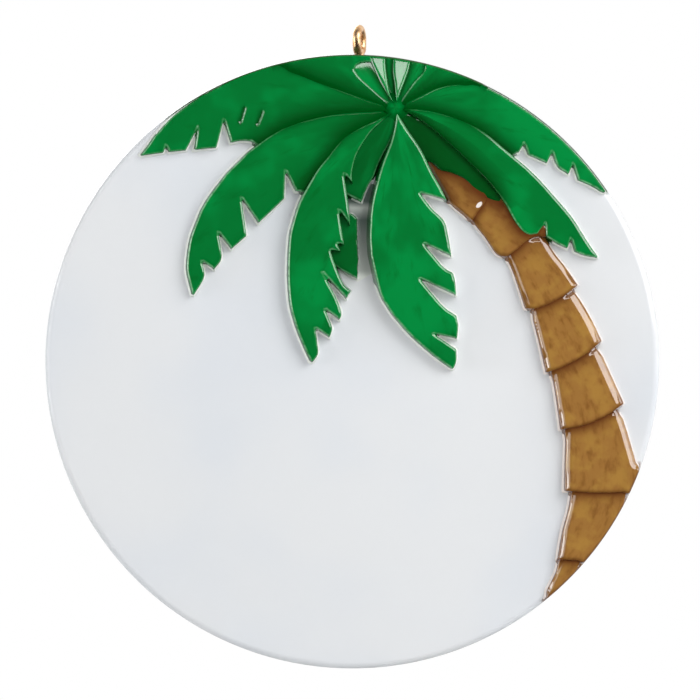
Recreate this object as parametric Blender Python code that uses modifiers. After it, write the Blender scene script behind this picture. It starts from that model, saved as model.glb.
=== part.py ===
# Flat round tree ornament: a white disc with a palm in raised relief and a screw eye in its rim.
# It stands upright, as it hangs. +Z is up, the relief faces -Y, and the origin is the centre of
# the screw eye's loop, which lies on the axis of the eye's shank.

import math
from collections import namedtuple

import bmesh
import bpy
from mathutils import Vector

# Disc, in metres
DISC_DIAMETER = 0.0825
DISC_THICKNESS = 0.0045
DISC_EDGE_ROUND = 0.0009

# Screw eye, in metres and degrees
EYE_WIRE = 0.00115
EYE_INNER = 0.0020
EYE_OFFSET = 0.00095
EYE_SINK = 0.00025
EYE_TURN = -103.0
LOOP_TAIL_ANGLE = 40.0
LOOP_END_GAP = 0.00015
NECK_BEND = 0.0008
SHANK_DEPTH = 0.0090
SHANK_POINT = 0.0012
POINT_WIDTH = 0.00017
THREAD_START = 0.0018
THREAD_PITCH = 0.0008
THREAD_WIRE = 0.00030
THREAD_ROOT = 0.00003
PILOT_END = 0.0006

# Fits, in metres
THREAD_CLEARANCE = 0.00015
SEAT_GAP = 0.0002
SIDE_GAP = 0.0003

# Relief, in metres: rises are heights above the disc's face
FRONT_RISE = 0.0024
MIDDLE_RISE = 0.0020
BACK_RISE = 0.0016
FAN_RISE = 0.0018
CROWN_RISE = 0.0020
TIP_RISE = 0.0013
LEAF_EDGE = 0.0010
HEART_RISE = 0.0019
LIP_RISE = 0.0020
NECK_RISE = 0.0013
SCALE_EDGE = 0.0008
WALL_DRAFT = 0.00035
RIM_SETBACK = 0.00035

# Shape of the relief: where along a frond it rises highest, as a share of its length, how flat the
# dome across a piece is, and the largest shares of a narrow piece that its gap and its wall may take
FROND_SHOULDER = 0.35
DOME_POWER = 2.4
NARROW_GAP = 0.2
NARROW_WALL = 0.25

# Facets
DISC_SEGMENTS = 96
HEART_SEGMENTS = 24
PILOT_SEGMENTS = 24
ROUND_STEPS = 4
LOOP_STEPS = 28
BEND_STEPS = 4
THREAD_STEPS = 10
OUTER_STEPS = 6
LEAFLET_STEPS = 1
LEAF_COLUMNS = (0.25, 0.5, 0.75)

# Places that follow from the sizes above
disc_radius = DISC_DIAMETER / 2
wire_radius = EYE_WIRE / 2
loop_radius = EYE_INNER / 2 + wire_radius
eye_standoff = loop_radius + wire_radius - EYE_SINK
disc_centre = Vector((-EYE_OFFSET, 0.0, -disc_radius - eye_standoff))
disc_face = -DISC_THICKNESS / 2
crest_radius = wire_radius + THREAD_WIRE / 2 - THREAD_ROOT
pilot_radius = crest_radius + THREAD_CLEARANCE

# The palm is drawn from the disc's centre, in hundredths of its radius, so it runs out to the rim
drawing_unit = disc_radius / 100
rim_reach = 100 - RIM_SETBACK / drawing_unit


def rim(degrees):
    # A drawn point on the relief's outer limit, counted from the disc's right-hand side
    return (rim_reach * math.cos(math.radians(degrees)), rim_reach * math.sin(math.radians(degrees)))


# Grooves between neighbouring fronds, from the crown outwards
CROWN = (13.9, 82.6)
GROOVE_UPPER_LEFT = [
    (10.4, 83.5), (5.1, 85.3), (-2.4, 88.4), (-7.9, 90.4), (-13.5, 92.5), (-18.3, 94.6), rim(102.7),
]
GROOVE_LEFT = [
    (10.4, 81.8), (0.5, 81.5), (-7.9, 80.7), (-16.1, 78.8), (-21.9, 76.7), (-27.4, 73.5), (-31.2, 71.2),
]
GROOVE_LOWER_LEFT = [
    (11.1, 80.5), (7.3, 79.0), (3.1, 77.2), (-1.9, 74.3), (-5.3, 70.9), (-8.1, 67.1), (-11.2, 63.4),
    (-14.3, 58.7), (-16.1, 55.4),
]
GROOVE_BEHIND = [(12.4, 79.3), (7.5, 75.8), (4.3, 71.8), (1.3, 66.5), (0.0, 60.9), (0.2, 57.7)]
GROOVE_CENTRE = [(15.3, 79.3), (18.2, 75.2), (21.3, 70.8), (23.3, 67.4)]
GROOVE_SHADED = [(16.9, 80.6), (20.7, 78.8), (28.5, 72.7), (36.6, 65.2), (44.1, 57.7), (49.0, 51.3)]
GROOVE_RIGHT = [
    (17.4, 82.4), (21.3, 82.7), (27.2, 82.0), (32.7, 80.0), (39.2, 77.3), (43.8, 74.0), (48.3, 70.4),
    (51.3, 67.9),
]
GROOVE_UPPER_RIGHT = [
    (16.9, 84.4), (21.3, 86.6), (26.2, 89.2), (30.4, 90.2), (34.3, 91.0), (38.2, 91.8), rim(66.0),
]

# Grooves of the fan of narrow leaflets at the top, from left to right
FAN_GROOVES = [
    [(10.9, 84.8), (8.0, 87.6), (5.0, 90.5), (2.4, 92.7), (0.7, 95.4), rim(90.3)],
    [(11.8, 85.5), (11.0, 87.1), (9.0, 90.2), (7.0, 94.0), (5.9, 96.4), rim(87.5)],
    [(12.7, 86.0), (12.0, 87.6), (11.1, 92.8), (10.6, 96.1), rim(84.2)],
    [(13.7, 86.1), (13.7, 87.6), (12.8, 92.8), (12.9, 96.1), rim(82.5)],
    [(15.0, 86.0), (15.8, 87.9), (18.1, 92.4), (18.8, 96.1), rim(79.0)],
    [(15.6, 85.7), (17.1, 87.9), (19.0, 90.7), (20.7, 94.4), rim(77.4)],
]

# A frond lies between a smooth outer edge and an edge snipped into leaflets, both drawn from the
# crown to the tip. Each leaflet after the first starts at the bottom of the snip before it.
Frond = namedtuple("Frond", "name rise finish outer leaflets")

FRONDS = [
    Frond(
        "frond_far_left", BACK_RISE, "leaf_green",
        [GROOVE_UPPER_LEFT,
         [rim(102.7), rim(107.0), rim(111.5), (-49.8, 85.4), (-55.4, 81.8), (-61.1, 76.7), (-66.8, 71.0),
          (-69.1, 67.3)]],
        [GROOVE_LEFT + [(-34.3, 71.3), (-36.6, 71.3), (-39.5, 70.7)],
         [(-41.8, 78.2), (-44.2, 69.1), (-51.6, 68.4)],
         [(-50.5, 75.6), (-54.1, 68.3), (-59.5, 67.7)],
         [(-60.6, 69.9), (-61.3, 67.6), (-68.6, 66.8)]],
    ),
    Frond(
        "frond_left", MIDDLE_RISE, "leaf_green",
        [GROOVE_LEFT + [(-36.7, 66.1), (-42.2, 60.5), (-47.3, 53.6), (-51.0, 46.8), (-53.1, 40.5),
                        (-54.3, 33.3), (-54.1, 26.1), (-52.5, 21.8)]],
        [GROOVE_LOWER_LEFT + [(-18.3, 54.9)],
         [(-21.7, 61.7), (-22.0, 52.7), (-24.2, 50.5), (-30.4, 44.6)],
         [(-36.0, 53.0), (-34.2, 40.6), (-39.2, 36.2)],
         [(-43.5, 41.8), (-42.3, 33.7), (-44.7, 29.7)],
         [(-48.8, 32.5), (-47.9, 27.5), (-51.3, 21.6)]],
    ),
    Frond(
        "frond_lower_left", FRONT_RISE, "leaf_green",
        [GROOVE_LOWER_LEFT + [(-19.3, 48.6), (-20.7, 42.7), (-21.4, 34.9), (-21.5, 26.5), (-20.6, 17.4),
                              (-18.3, 9.6), (-15.7, 3.4), (-13.9, -0.2)]],
        [GROOVE_BEHIND,
         [(-2.6, 60.8), (-1.9, 55.7), (-1.1, 49.9), (-0.6, 43.9)],
         [(-4.3, 49.1), (-3.4, 43.4), (-2.4, 37.9)],
         [(-4.8, 38.3), (-3.5, 35.6)],
         [(-6.9, 36.2), (-5.8, 32.3), (-2.9, 25.2), (-0.3, 22.7), (-1.8, 20.1)],
         [(-9.7, 28.8), (-7.6, 25.2), (-5.2, 20.8), (-3.3, 15.6), (-4.0, 13.3)],
         [(-8.8, 16.9), (-7.3, 13.5), (-6.3, 10.5), (-7.2, 7.6)],
         [(-11.9, 10.7), (-11.2, 6.6), (-10.9, 2.4), (-12.7, -0.2)]],
    ),
    Frond(
        "frond_behind", BACK_RISE, "leaf_shade",
        [[(8.5, 76.6), (4.3, 71.8), (1.3, 66.5), (0.0, 60.9), (0.2, 57.7), (-0.6, 54.0)]],
        [[(12.2, 75.9), (10.9, 72.3), (8.3, 65.5), (6.0, 58.3), (4.3, 53.8), (3.1, 51.2)]],
    ),
    Frond(
        "frond_behind_tip", BACK_RISE, "leaf_shade",
        [[(-0.3, 48.4), (0.2, 46.0), (0.4, 43.1), (-1.3, 37.5), (-2.4, 34.3), (-4.2, 30.5)]],
        [[(1.4, 47.3), (1.7, 45.3), (1.8, 42.1), (1.9, 37.5), (2.0, 32.3), (1.5, 26.8)]],
    ),
    Frond(
        "frond_centre", FRONT_RISE, "leaf_green",
        [[(13.9, 79.0), (11.7, 71.0), (9.1, 64.2), (7.3, 58.0), (5.8, 51.5), (5.1, 44.7), (5.1, 37.9),
          (5.9, 31.0), (8.0, 23.2), (10.8, 17.7), (14.3, 13.0), (18.7, 8.1), (23.6, 3.6), (28.2, 0.0),
          (32.1, -2.6)]],
        [GROOVE_CENTRE + [(26.2, 61.3), (28.8, 56.7), (30.9, 52.3)],
         [(22.2, 54.7), (26.0, 49.7), (30.0, 45.6), (31.3, 41.1), (32.5, 34.0)],
         [(23.3, 38.3), (29.6, 30.8), (33.0, 28.6), (33.7, 25.6), (34.0, 21.3)],
         [(22.0, 26.9), (29.6, 18.1), (34.1, 14.8), (34.7, 11.4), (34.3, 7.3)],
         [(26.4, 9.0), (29.6, 7.0), (34.1, 4.0), (34.1, 0.3), (33.0, -2.3)]],
    ),
    Frond(
        "frond_shaded", BACK_RISE, "leaf_shade",
        [GROOVE_SHADED + [(50.4, 47.9)]],
        [GROOVE_CENTRE + [(27.9, 62.6), (34.1, 58.5), (39.5, 54.1), (44.7, 51.6), (48.2, 48.6),
                          (50.0, 46.0)]],
    ),
    Frond(
        "frond_right", MIDDLE_RISE, "leaf_green",
        [GROOVE_RIGHT + [(53.7, 66.1), (60.7, 59.6), (66.5, 53.1), (71.4, 47.3), (76.0, 40.1),
                         (79.8, 34.3)]],
        [GROOVE_SHADED + [(50.8, 48.1), (52.2, 45.5), (54.8, 42.1), (57.1, 40.8), (59.9, 41.1)],
         [(62.3, 44.5), (62.4, 40.3), (66.2, 38.0), (69.6, 36.3)],
         [(70.8, 39.5), (72.1, 35.3), (75.6, 34.0), (79.5, 33.5)]],
    ),
    Frond(
        "frond_far_right", BACK_RISE, "leaf_green",
        [GROOVE_UPPER_RIGHT,
         [rim(66.0), rim(60.0), rim(54.0), rim(48.0), rim(42.0), rim(37.0), rim(33.9)]],
        [GROOVE_RIGHT + [(53.9, 67.6)],
         [(55.5, 70.5), (56.9, 66.8), (63.0, 64.1)],
         [(64.6, 67.8), (66.5, 63.0), (70.1, 60.5)],
         [(71.4, 63.9), (73.0, 58.7), (77.9, 56.5), (81.2, 54.5)]],
    ),
    Frond("frond_upper_left", FAN_RISE, "leaf_green", [GROOVE_UPPER_LEFT], [FAN_GROOVES[0]]),
    Frond("frond_upper_right", FAN_RISE, "leaf_green", [FAN_GROOVES[-1]], [GROOVE_UPPER_RIGHT]),
]
for place, grooves in enumerate(zip(FAN_GROOVES, FAN_GROOVES[1:]), start=1):
    FRONDS.append(Frond(f"top_leaflet_{place}", FAN_RISE, "leaf_green", [grooves[0]], [grooves[1]]))

# The trunk is a chain of scales. Each is drawn down its left and right sides, from where it is tucked
# under the scale above to its own lip. A bow is how far the tuck and the lip curve down the trunk.
Scale = namedtuple("Scale", "left right tuck_bow lip_bow")

SCALES = [
    Scale([(27.0, 61.4), (29.2, 56.7), (31.6, 51.8), (35.6, 47.3), (38.5, 45.7)],
          [(28.1, 62.1), (34.0, 58.0), (39.2, 53.8), (41.8, 52.4), (44.1, 51.2)], 0.0, -1.4),
    Scale([(39.1, 45.0), (41.5, 42.4), (44.1, 39.3), (46.8, 35.9), (49.2, 34.0)],
          [(44.6, 50.6), (48.3, 46.9), (51.3, 43.9), (54.0, 41.0), (60.0, 39.5)], -1.4, 0.0),
    Scale([(49.6, 33.3), (53.0, 22.8), (55.0, 16.4)],
          [(61.0, 39.0), (67.8, 31.7), (73.0, 24.8)], 0.0, 1.5),
    Scale([(57.6, 16.1), (59.9, 7.8), (62.6, -3.8)],
          [(72.2, 23.5), (77.3, 15.1), (81.3, 7.0)], 1.0, 1.5),
    Scale([(64.6, -4.2), (66.0, -12.9), (67.3, -22.3)],
          [(80.2, 5.0), (84.2, -3.9), (88.5, -13.4)], 1.0, 1.9),
    Scale([(69.0, -23.0), (68.8, -29.0), (68.6, -36.0), (68.5, -42.1)],
          [(87.2, -15.3), (90.3, -25.2), rim(-20.9), rim(-25.4)], 1.3, 0.5),
    Scale([(70.9, -43.3), (69.5, -49.3), (67.8, -55.6), (66.3, -64.3)],
          [rim(-26.3), rim(-31.0), rim(-36.0), rim(-40.8)], 0.4, 0.2),
    Scale([(67.3, -65.1), (64.6, -71.1), (61.9, -76.6)],
          [rim(-41.6), rim(-46.0), rim(-50.8)], 0.2, 0.0),
]

# Colour, roughness and metallic value of each finish
FINISHES = {
    "white_resin": ((0.80, 0.81, 0.82), 0.12, 0.0),
    "leaf_green": ((0.004, 0.220, 0.040), 0.15, 0.0),
    "leaf_shade": ((0.003, 0.090, 0.012), 0.15, 0.0),
    "trunk_brown": ((0.330, 0.160, 0.038), 0.18, 0.0),
    "eye_gilt": ((0.578, 0.352, 0.102), 0.22, 1.0),
}


# Scene, collections and materials

def clear_scene():
    for item in list(bpy.data.objects):
        bpy.data.objects.remove(item, do_unlink=True)


def new_collection(name):
    collection = bpy.data.collections.new(name)
    bpy.context.scene.collection.children.link(collection)
    return collection


def make_finish(name):
    colour, roughness, metallic = FINISHES[name]
    material = bpy.data.materials.new(name)
    material.use_nodes = True
    shader = material.node_tree.nodes["Principled BSDF"]
    shader.inputs["Base Color"].default_value = (*colour, 1.0)
    shader.inputs["Roughness"].default_value = roughness
    shader.inputs["Metallic"].default_value = metallic
    return material


def add_object(name, mesh, collection, finish=None):
    item = bpy.data.objects.new(name, mesh)
    collection.objects.link(item)
    if finish:
        mesh.materials.append(finish)
    return item


def hide_cutter(cutter):
    cutter.hide_render = True
    cutter.display_type = "WIRE"


# General shapes

def turned(name, profile, segments, collection, finish=None):
    # A profile of (radius, height) points, from the top of the axis round to its bottom
    mesh = bpy.data.meshes.new(name)
    points = [(radius, 0.0, height) for radius, height in profile]
    mesh.from_pydata(points, [(i, i + 1) for i in range(len(points) - 1)], [])
    item = add_object(name, mesh, collection, finish)
    screw = item.modifiers.new("turn", "SCREW")
    screw.axis = "Z"
    screw.angle = math.tau
    screw.steps = segments
    screw.render_steps = segments
    screw.use_merge_vertices = True
    screw.merge_threshold = 0.00001
    return item


def wire_mesh(name, points, radius, sides_level, collection, radii=None):
    # A round wire along the points, made a closed mesh
    curve = bpy.data.curves.new(name, "CURVE")
    curve.dimensions = "3D"
    curve.bevel_depth = radius
    curve.bevel_resolution = sides_level
    curve.use_fill_caps = True
    spline = curve.splines.new("POLY")
    spline.points.add(len(points) - 1)
    for index, (spot, place) in enumerate(zip(spline.points, points)):
        spot.co = (*place, 1.0)
        spot.radius = radii[index] if radii else 1.0
    guide = bpy.data.objects.new(name + "_guide", curve)
    collection.objects.link(guide)
    bpy.context.view_layer.update()
    evaluated = guide.evaluated_get(bpy.context.evaluated_depsgraph_get())
    mesh = bpy.data.meshes.new_from_object(evaluated)
    mesh.name = name
    place = guide.matrix_world.copy()
    bpy.data.objects.remove(guide, do_unlink=True)
    bm = bmesh.new()
    bm.from_mesh(mesh)
    bmesh.ops.remove_doubles(bm, verts=bm.verts, dist=0.000001)
    bmesh.ops.recalc_face_normals(bm, faces=bm.faces)
    bm.to_mesh(mesh)
    bm.free()
    item = add_object(name, mesh, collection)
    item.matrix_world = place
    return item


def boolean(item, cutter, operation):
    modifier = item.modifiers.new(cutter.name, "BOOLEAN")
    modifier.object = cutter
    modifier.operation = operation
    modifier.solver = "EXACT"


def loft(name, rows, collection, finish):
    # A closed solid through rows of (tops, bases): tops run across from one foot to the other, and
    # bases lie under the tops between the two feet, or are empty where the underside is flat
    bm = bmesh.new()
    rings = []
    for tops, bases in rows:
        ring_tops = [bm.verts.new(point) for point in tops]
        ring_bases = [bm.verts.new(point) for point in bases]
        rings.append((ring_tops, ring_bases))
    for (tops, bases), (next_tops, next_bases) in zip(rings, rings[1:]):
        here = tops + bases[::-1]
        there = next_tops + next_bases[::-1]
        for i in range(len(here)):
            j = (i + 1) % len(here)
            bm.faces.new((here[i], here[j], there[j], there[i]))
    for tops, bases in (rings[0], rings[-1]):
        if not bases:
            bm.faces.new(tops)
            continue
        feet = [tops[0]] + bases + [tops[-1]]
        bm.faces.new((tops[0], tops[1], feet[1]))
        for i in range(1, len(tops) - 2):
            bm.faces.new((tops[i], tops[i + 1], feet[i + 1], feet[i]))
        bm.faces.new((tops[-2], tops[-1], feet[-2]))
    bmesh.ops.recalc_face_normals(bm, faces=bm.faces)
    if bm.calc_volume(signed=True) < 0:
        bmesh.ops.reverse_faces(bm, faces=bm.faces)
    mesh = bpy.data.meshes.new(name)
    bm.to_mesh(mesh)
    bm.free()
    mesh.shade_smooth()
    mesh.set_sharp_from_angle(angle=math.radians(35))
    return add_object(name, mesh, collection, finish)


# Drawn lines

def smooth(points, steps):
    # A curve through the points that leaves each one along the line between its neighbours
    spots = [Vector(point) for point in points]
    if len(spots) < 3:
        return spots
    ends = [2 * spots[0] - spots[1]] + spots + [2 * spots[-1] - spots[-2]]
    line = []
    for a, b, c, d in zip(ends, ends[1:], ends[2:], ends[3:]):
        for step in range(steps):
            t = step / steps
            pull = (c - a) * t + (2 * a - 5 * b + 4 * c - d) * t ** 2 + (3 * b - a - 3 * c + d) * t ** 3
            line.append(b + 0.5 * pull)
    return line + [spots[-1]]


def distances(line):
    # How far along the line each of its points lies
    reached = [0.0]
    for a, b in zip(line, line[1:]):
        reached.append(reached[-1] + (b - a).length)
    return reached


def point_at(line, reached, share):
    # The point at a share of the line's length
    goal = min(max(share, 0.0), 1.0) * reached[-1]
    for i in range(len(line) - 1):
        if goal <= reached[i + 1]:
            span = reached[i + 1] - reached[i]
            return line[i].lerp(line[i + 1], (goal - reached[i]) / span if span else 0.0)
    return line[-1]


def share_hit(line, reached, start, heading):
    # The share of the line's length where a ray from the start first meets it, or its end
    nearest = None
    share = 1.0
    for i in range(len(line) - 1):
        edge = line[i + 1] - line[i]
        offset = line[i] - start
        cross = heading.x * edge.y - heading.y * edge.x
        if abs(cross) < 1e-9:
            continue
        away = (offset.x * edge.y - offset.y * edge.x) / cross
        along = (offset.x * heading.y - offset.y * heading.x) / cross
        if away > 0 and 0 <= along <= 1 and (nearest is None or away < nearest):
            nearest = away
            share = (reached[i] + along * edge.length) / reached[-1]
    return share


def ease(share):
    share = min(max(share, 0.0), 1.0)
    return share * share * (3 - 2 * share)


def dome(across):
    # The share of its full rise that a piece has at a share of the way across it
    return 1 - abs(2 * across - 1) ** DOME_POWER


def relief_point(spot, height):
    # A drawn point at a height above the disc's face
    return Vector((
        disc_centre.x + spot.x * drawing_unit,
        disc_face - height,
        disc_centre.z + spot.y * drawing_unit,
    ))


# Disc and crown

def make_disc(parts, cutters, finish):
    half = DISC_THICKNESS / 2
    inner = disc_radius - DISC_EDGE_ROUND
    turns = [math.pi / 2 * step / ROUND_STEPS for step in range(ROUND_STEPS + 1)]
    shoulder = half - DISC_EDGE_ROUND
    front = [(inner + DISC_EDGE_ROUND * math.sin(a), shoulder + DISC_EDGE_ROUND * math.cos(a)) for a in turns]
    back = [(radius, -height) for radius, height in reversed(front)]
    profile = [(0.0, half)] + front + back + [(0.0, -half)]
    disc = turned("disc_blank", profile, DISC_SEGMENTS, parts, finish)
    disc.location = disc_centre
    disc.rotation_euler = (math.pi / 2, 0.0, 0.0)
    pilot = turned("eye_pilot_hole", pilot_profile(), PILOT_SEGMENTS, cutters)
    hide_cutter(pilot)
    boolean(disc, pilot, "DIFFERENCE")


def make_heart(parts, finish, frond_starts):
    # A domed button inside the ring where the fronds start
    crown = Vector(CROWN)
    ring = min((spot - crown).length for spot in frond_starts) * drawing_unit
    radius = ring - SIDE_GAP
    rise = HEART_RISE - SEAT_GAP
    turns = [math.pi / 2 * step / ROUND_STEPS for step in range(ROUND_STEPS + 1)]
    profile = [(radius * math.sin(a), SEAT_GAP + rise * math.cos(a)) for a in turns]
    heart = turned("crown_heart", profile + [(0.0, SEAT_GAP)], HEART_SEGMENTS, parts, finish)
    heart.location = relief_point(crown, 0.0)
    heart.rotation_euler = (math.pi / 2, 0.0, 0.0)


# Fronds

def root_shares(outer, reached, leaflets):
    # Where each snip, carried on across the frond, meets the outer edge, kept in order
    shares = []
    for leaflet, following in zip(leaflets, leaflets[1:]):
        tip = leaflet[-1]
        snip = following[0]
        shares.append(share_hit(outer, reached, snip, snip - tip))
    spacing = SIDE_GAP / drawing_unit / reached[-1]
    for i in reversed(range(len(shares) - 1)):
        shares[i] = min(shares[i], shares[i + 1] - spacing)
    return [0.0] + shares + [1.0], spacing / 2


def frond_stations(frond):
    # Lines across the frond: (outer point, leaflet point, share along the frond, full reach)
    outer = []
    for run in frond.outer:
        outer += smooth(run, OUTER_STEPS)[1 if outer else 0:]
    reached = distances(outer)
    leaflets = [smooth(run, LEAFLET_STEPS) for run in frond.leaflets]
    roots, margin = root_shares(outer, reached, leaflets)
    stations = []
    last_reach = 0.0
    for i, leaflet in enumerate(leaflets):
        first = roots[i] + (margin if i else 0.0)
        last = roots[i + 1] - (margin if i + 1 < len(leaflets) else 0.0)
        run = distances(leaflet)
        tip_reach = (leaflet[-1] - point_at(outer, reached, last)).length
        for spot, gone in zip(leaflet, run):
            done = gone / run[-1]
            share = first + (last - first) * done
            root = point_at(outer, reached, share)
            reach = (spot - root).length
            if i:
                reach = max(reach, last_reach + (tip_reach - last_reach) * done)
            stations.append((root, spot, share, reach))
        last_reach = tip_reach
    return stations


def frond_row(frond, station):
    # The frond's section on one line across it: two leaning walls and a domed top between them
    root, spot, share, reach = station
    heading = (spot - root).normalized()
    width = (spot - root).length
    trim = min(SIDE_GAP / 2 / drawing_unit, width * NARROW_GAP)
    start = root + heading * trim
    width -= 2 * trim
    draft = min(WALL_DRAFT / drawing_unit, width * NARROW_WALL)
    crest = CROWN_RISE + (frond.rise - CROWN_RISE) * ease(share / FROND_SHOULDER)
    crest += (TIP_RISE - crest) * ease((share - FROND_SHOULDER) / (1 - FROND_SHOULDER))
    inner = width - 2 * draft
    places = [draft] + [draft + inner * column for column in LEAF_COLUMNS] + [width - draft]
    tops = [relief_point(start, SEAT_GAP)]
    for place in places:
        across = (place + trim) / reach
        tops.append(relief_point(start + heading * place, LEAF_EDGE + (crest - LEAF_EDGE) * dome(across)))
    tops.append(relief_point(start + heading * width, SEAT_GAP))
    return tops, []


def make_fronds(parts, finishes):
    starts = []
    for frond in FRONDS:
        stations = frond_stations(frond)
        starts += stations[0][:2]
        rows = [frond_row(frond, station) for station in stations]
        loft(frond.name, rows, parts, finishes[frond.finish])
    return starts


# Trunk

def scale_row(scale, index):
    # The scale's section on one bowed line across the trunk, higher towards its lip
    left = Vector(scale.left[index])
    right = Vector(scale.right[index])
    share = index / (len(scale.left) - 1)
    across = right - left
    width = across.length
    heading = across / width
    downward = Vector((heading.y, -heading.x))
    bow = scale.tuck_bow + (scale.lip_bow - scale.tuck_bow) * share
    crest = NECK_RISE + (LIP_RISE - NECK_RISE) * share
    trim = min(SIDE_GAP / 2 / drawing_unit, width * NARROW_GAP)
    draft = min(WALL_DRAFT / drawing_unit, width * NARROW_WALL)
    first = trim + draft
    inner = width - 2 * first
    columns = [first] + [first + inner * column for column in LEAF_COLUMNS] + [width - first]
    tops = [relief_point(left + heading * trim, SEAT_GAP)]
    bases = []
    for column in columns:
        t = column / width
        spot = left + across * t + downward * (bow * 4 * t * (1 - t))
        tops.append(relief_point(spot, SCALE_EDGE + (crest - SCALE_EDGE) * dome(t)))
        bases.append(relief_point(spot, SEAT_GAP))
    tops.append(relief_point(right - heading * trim, SEAT_GAP))
    return tops, bases


def make_trunk(parts, finish):
    for number, scale in enumerate(SCALES, start=1):
        rows = [scale_row(scale, index) for index in range(len(scale.left))]
        loft(f"trunk_scale_{number}", rows, parts, finish)


# Screw eye

def eye_path():
    # The wire's centre line in the loop's own plane, as (across, height): the loop from its free end
    # round over the top, the tail into the bend, and the straight shank down to its point
    tail = math.radians(LOOP_TAIL_ANGLE)
    leave = Vector((-loop_radius * math.sin(tail), -loop_radius * math.cos(tail)))
    heading = Vector((math.cos(tail), -math.sin(tail)))
    run = (loop_radius * math.sin(tail) - NECK_BEND * (1 - math.sin(tail))) / math.cos(tail)
    bend_start = leave + heading * run
    bend_centre = bend_start - NECK_BEND * Vector((math.sin(tail), math.cos(tail)))
    neck = [leave]
    for step in range(BEND_STEPS + 1):
        angle = (math.pi / 2 - tail) * (1 - step / BEND_STEPS)
        neck.append(bend_centre + NECK_BEND * Vector((math.cos(angle), math.sin(angle))))
    free = tail / 2
    while nearest_neck(loop_spot(free), neck) < EYE_WIRE + LOOP_END_GAP:
        free += math.radians(1)
    sweep = math.tau - free - tail
    loop = [loop_spot(free + sweep * step / LOOP_STEPS) for step in range(LOOP_STEPS)]
    bottom = -eye_standoff - SHANK_DEPTH
    shank = [Vector((0.0, bottom + SHANK_POINT)), Vector((0.0, bottom))]
    return loop, neck, shank


def loop_spot(angle):
    # A point of the loop's centre line, counted round from straight down
    return Vector((loop_radius * math.sin(angle), -loop_radius * math.cos(angle)))


def nearest_neck(spot, neck):
    shares = [step / 8 for step in range(9)]
    spots = [a.lerp(b, share) for a, b in zip(neck, neck[1:]) for share in shares]
    return min((spot - other).length for other in spots)


def pilot_profile():
    # The blind hole in the rim: a flare that the neck can turn in, then a bore clear of the thread
    neck = eye_path()[1]
    rim_height = -eye_standoff
    reach = pilot_radius
    for a, b in zip(neck, neck[1:]):
        aside = Vector((b - a).normalized().yx) * wire_radius
        for spot in (a, b):
            for side in (Vector((aside.x, -aside.y)), Vector((-aside.x, aside.y))):
                if (spot + side).y < rim_height + THREAD_CLEARANCE:
                    reach = max(reach, abs((spot + side).x))
    mouth = reach + THREAD_CLEARANCE
    flare_end = neck[-1].y - THREAD_CLEARANCE
    bore_end = rim_height - SHANK_DEPTH - PILOT_END
    return [
        (0.0, rim_height + wire_radius),
        (mouth, rim_height + wire_radius),
        (mouth, rim_height - THREAD_CLEARANCE),
        (pilot_radius, flare_end),
        (pilot_radius, bore_end),
        (0.0, bore_end - pilot_radius / 2),
    ]


def make_eye(parts, cutters, finish):
    loop, neck, shank = eye_path()
    path = [(spot.x, 0.0, spot.y) for spot in loop + neck + shank]
    radii = [1.0] * (len(path) - 1) + [POINT_WIDTH / EYE_WIRE]
    eye = wire_mesh("screw_eye", path, wire_radius, 2, parts, radii)
    eye.data.materials.append(finish)
    eye.data.shade_smooth()
    top = -eye_standoff - THREAD_START
    turns = (SHANK_DEPTH - THREAD_START - SHANK_POINT) / THREAD_PITCH
    count = round(turns * THREAD_STEPS)
    half_turn = THREAD_STEPS // 2
    helix = []
    for step in range(count + 1):
        angle = -math.tau * step / THREAD_STEPS
        fade = min(step, count - step, half_turn) / half_turn
        radius = wire_radius - THREAD_ROOT - THREAD_WIRE / 2 * (1 - fade)
        height = top - THREAD_PITCH * step / THREAD_STEPS
        helix.append((radius * math.cos(angle), radius * math.sin(angle), height))
    thread = wire_mesh("eye_thread", helix, THREAD_WIRE / 2, 0, cutters)
    hide_cutter(thread)
    boolean(eye, thread, "UNION")
    eye.rotation_euler = (0.0, 0.0, math.radians(EYE_TURN))


def main():
    clear_scene()
    parts = new_collection("palm_disc_ornament")
    cutters = new_collection("cutters")
    finishes = {name: make_finish(name) for name in FINISHES}
    make_disc(parts, cutters, finishes["white_resin"])
    make_eye(parts, cutters, finishes["eye_gilt"])
    starts = make_fronds(parts, finishes)
    make_heart(parts, finishes["leaf_green"], starts)
    make_trunk(parts, finishes["trunk_brown"])


main()
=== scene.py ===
import math

import bmesh
import bpy
import numpy as np
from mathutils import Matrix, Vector
from mathutils.kdtree import KDTree


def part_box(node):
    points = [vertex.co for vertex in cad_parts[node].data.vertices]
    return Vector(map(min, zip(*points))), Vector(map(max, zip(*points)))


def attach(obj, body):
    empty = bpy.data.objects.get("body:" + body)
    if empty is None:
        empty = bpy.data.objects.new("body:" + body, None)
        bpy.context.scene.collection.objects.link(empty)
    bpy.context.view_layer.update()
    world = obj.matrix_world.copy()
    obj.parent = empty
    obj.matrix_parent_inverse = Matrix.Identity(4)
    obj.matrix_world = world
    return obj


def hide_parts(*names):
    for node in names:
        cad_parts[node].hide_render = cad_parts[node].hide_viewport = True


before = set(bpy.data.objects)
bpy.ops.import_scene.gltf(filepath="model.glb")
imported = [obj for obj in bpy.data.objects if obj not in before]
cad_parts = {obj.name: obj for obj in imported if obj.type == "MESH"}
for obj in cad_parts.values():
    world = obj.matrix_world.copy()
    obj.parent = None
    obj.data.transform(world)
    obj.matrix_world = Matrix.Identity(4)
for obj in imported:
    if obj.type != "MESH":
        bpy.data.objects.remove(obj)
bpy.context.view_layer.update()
mm = 0.001
same, level = 0.001 * mm, 0.01 * mm   # nearer than this, points are one and heights are equal

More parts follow.
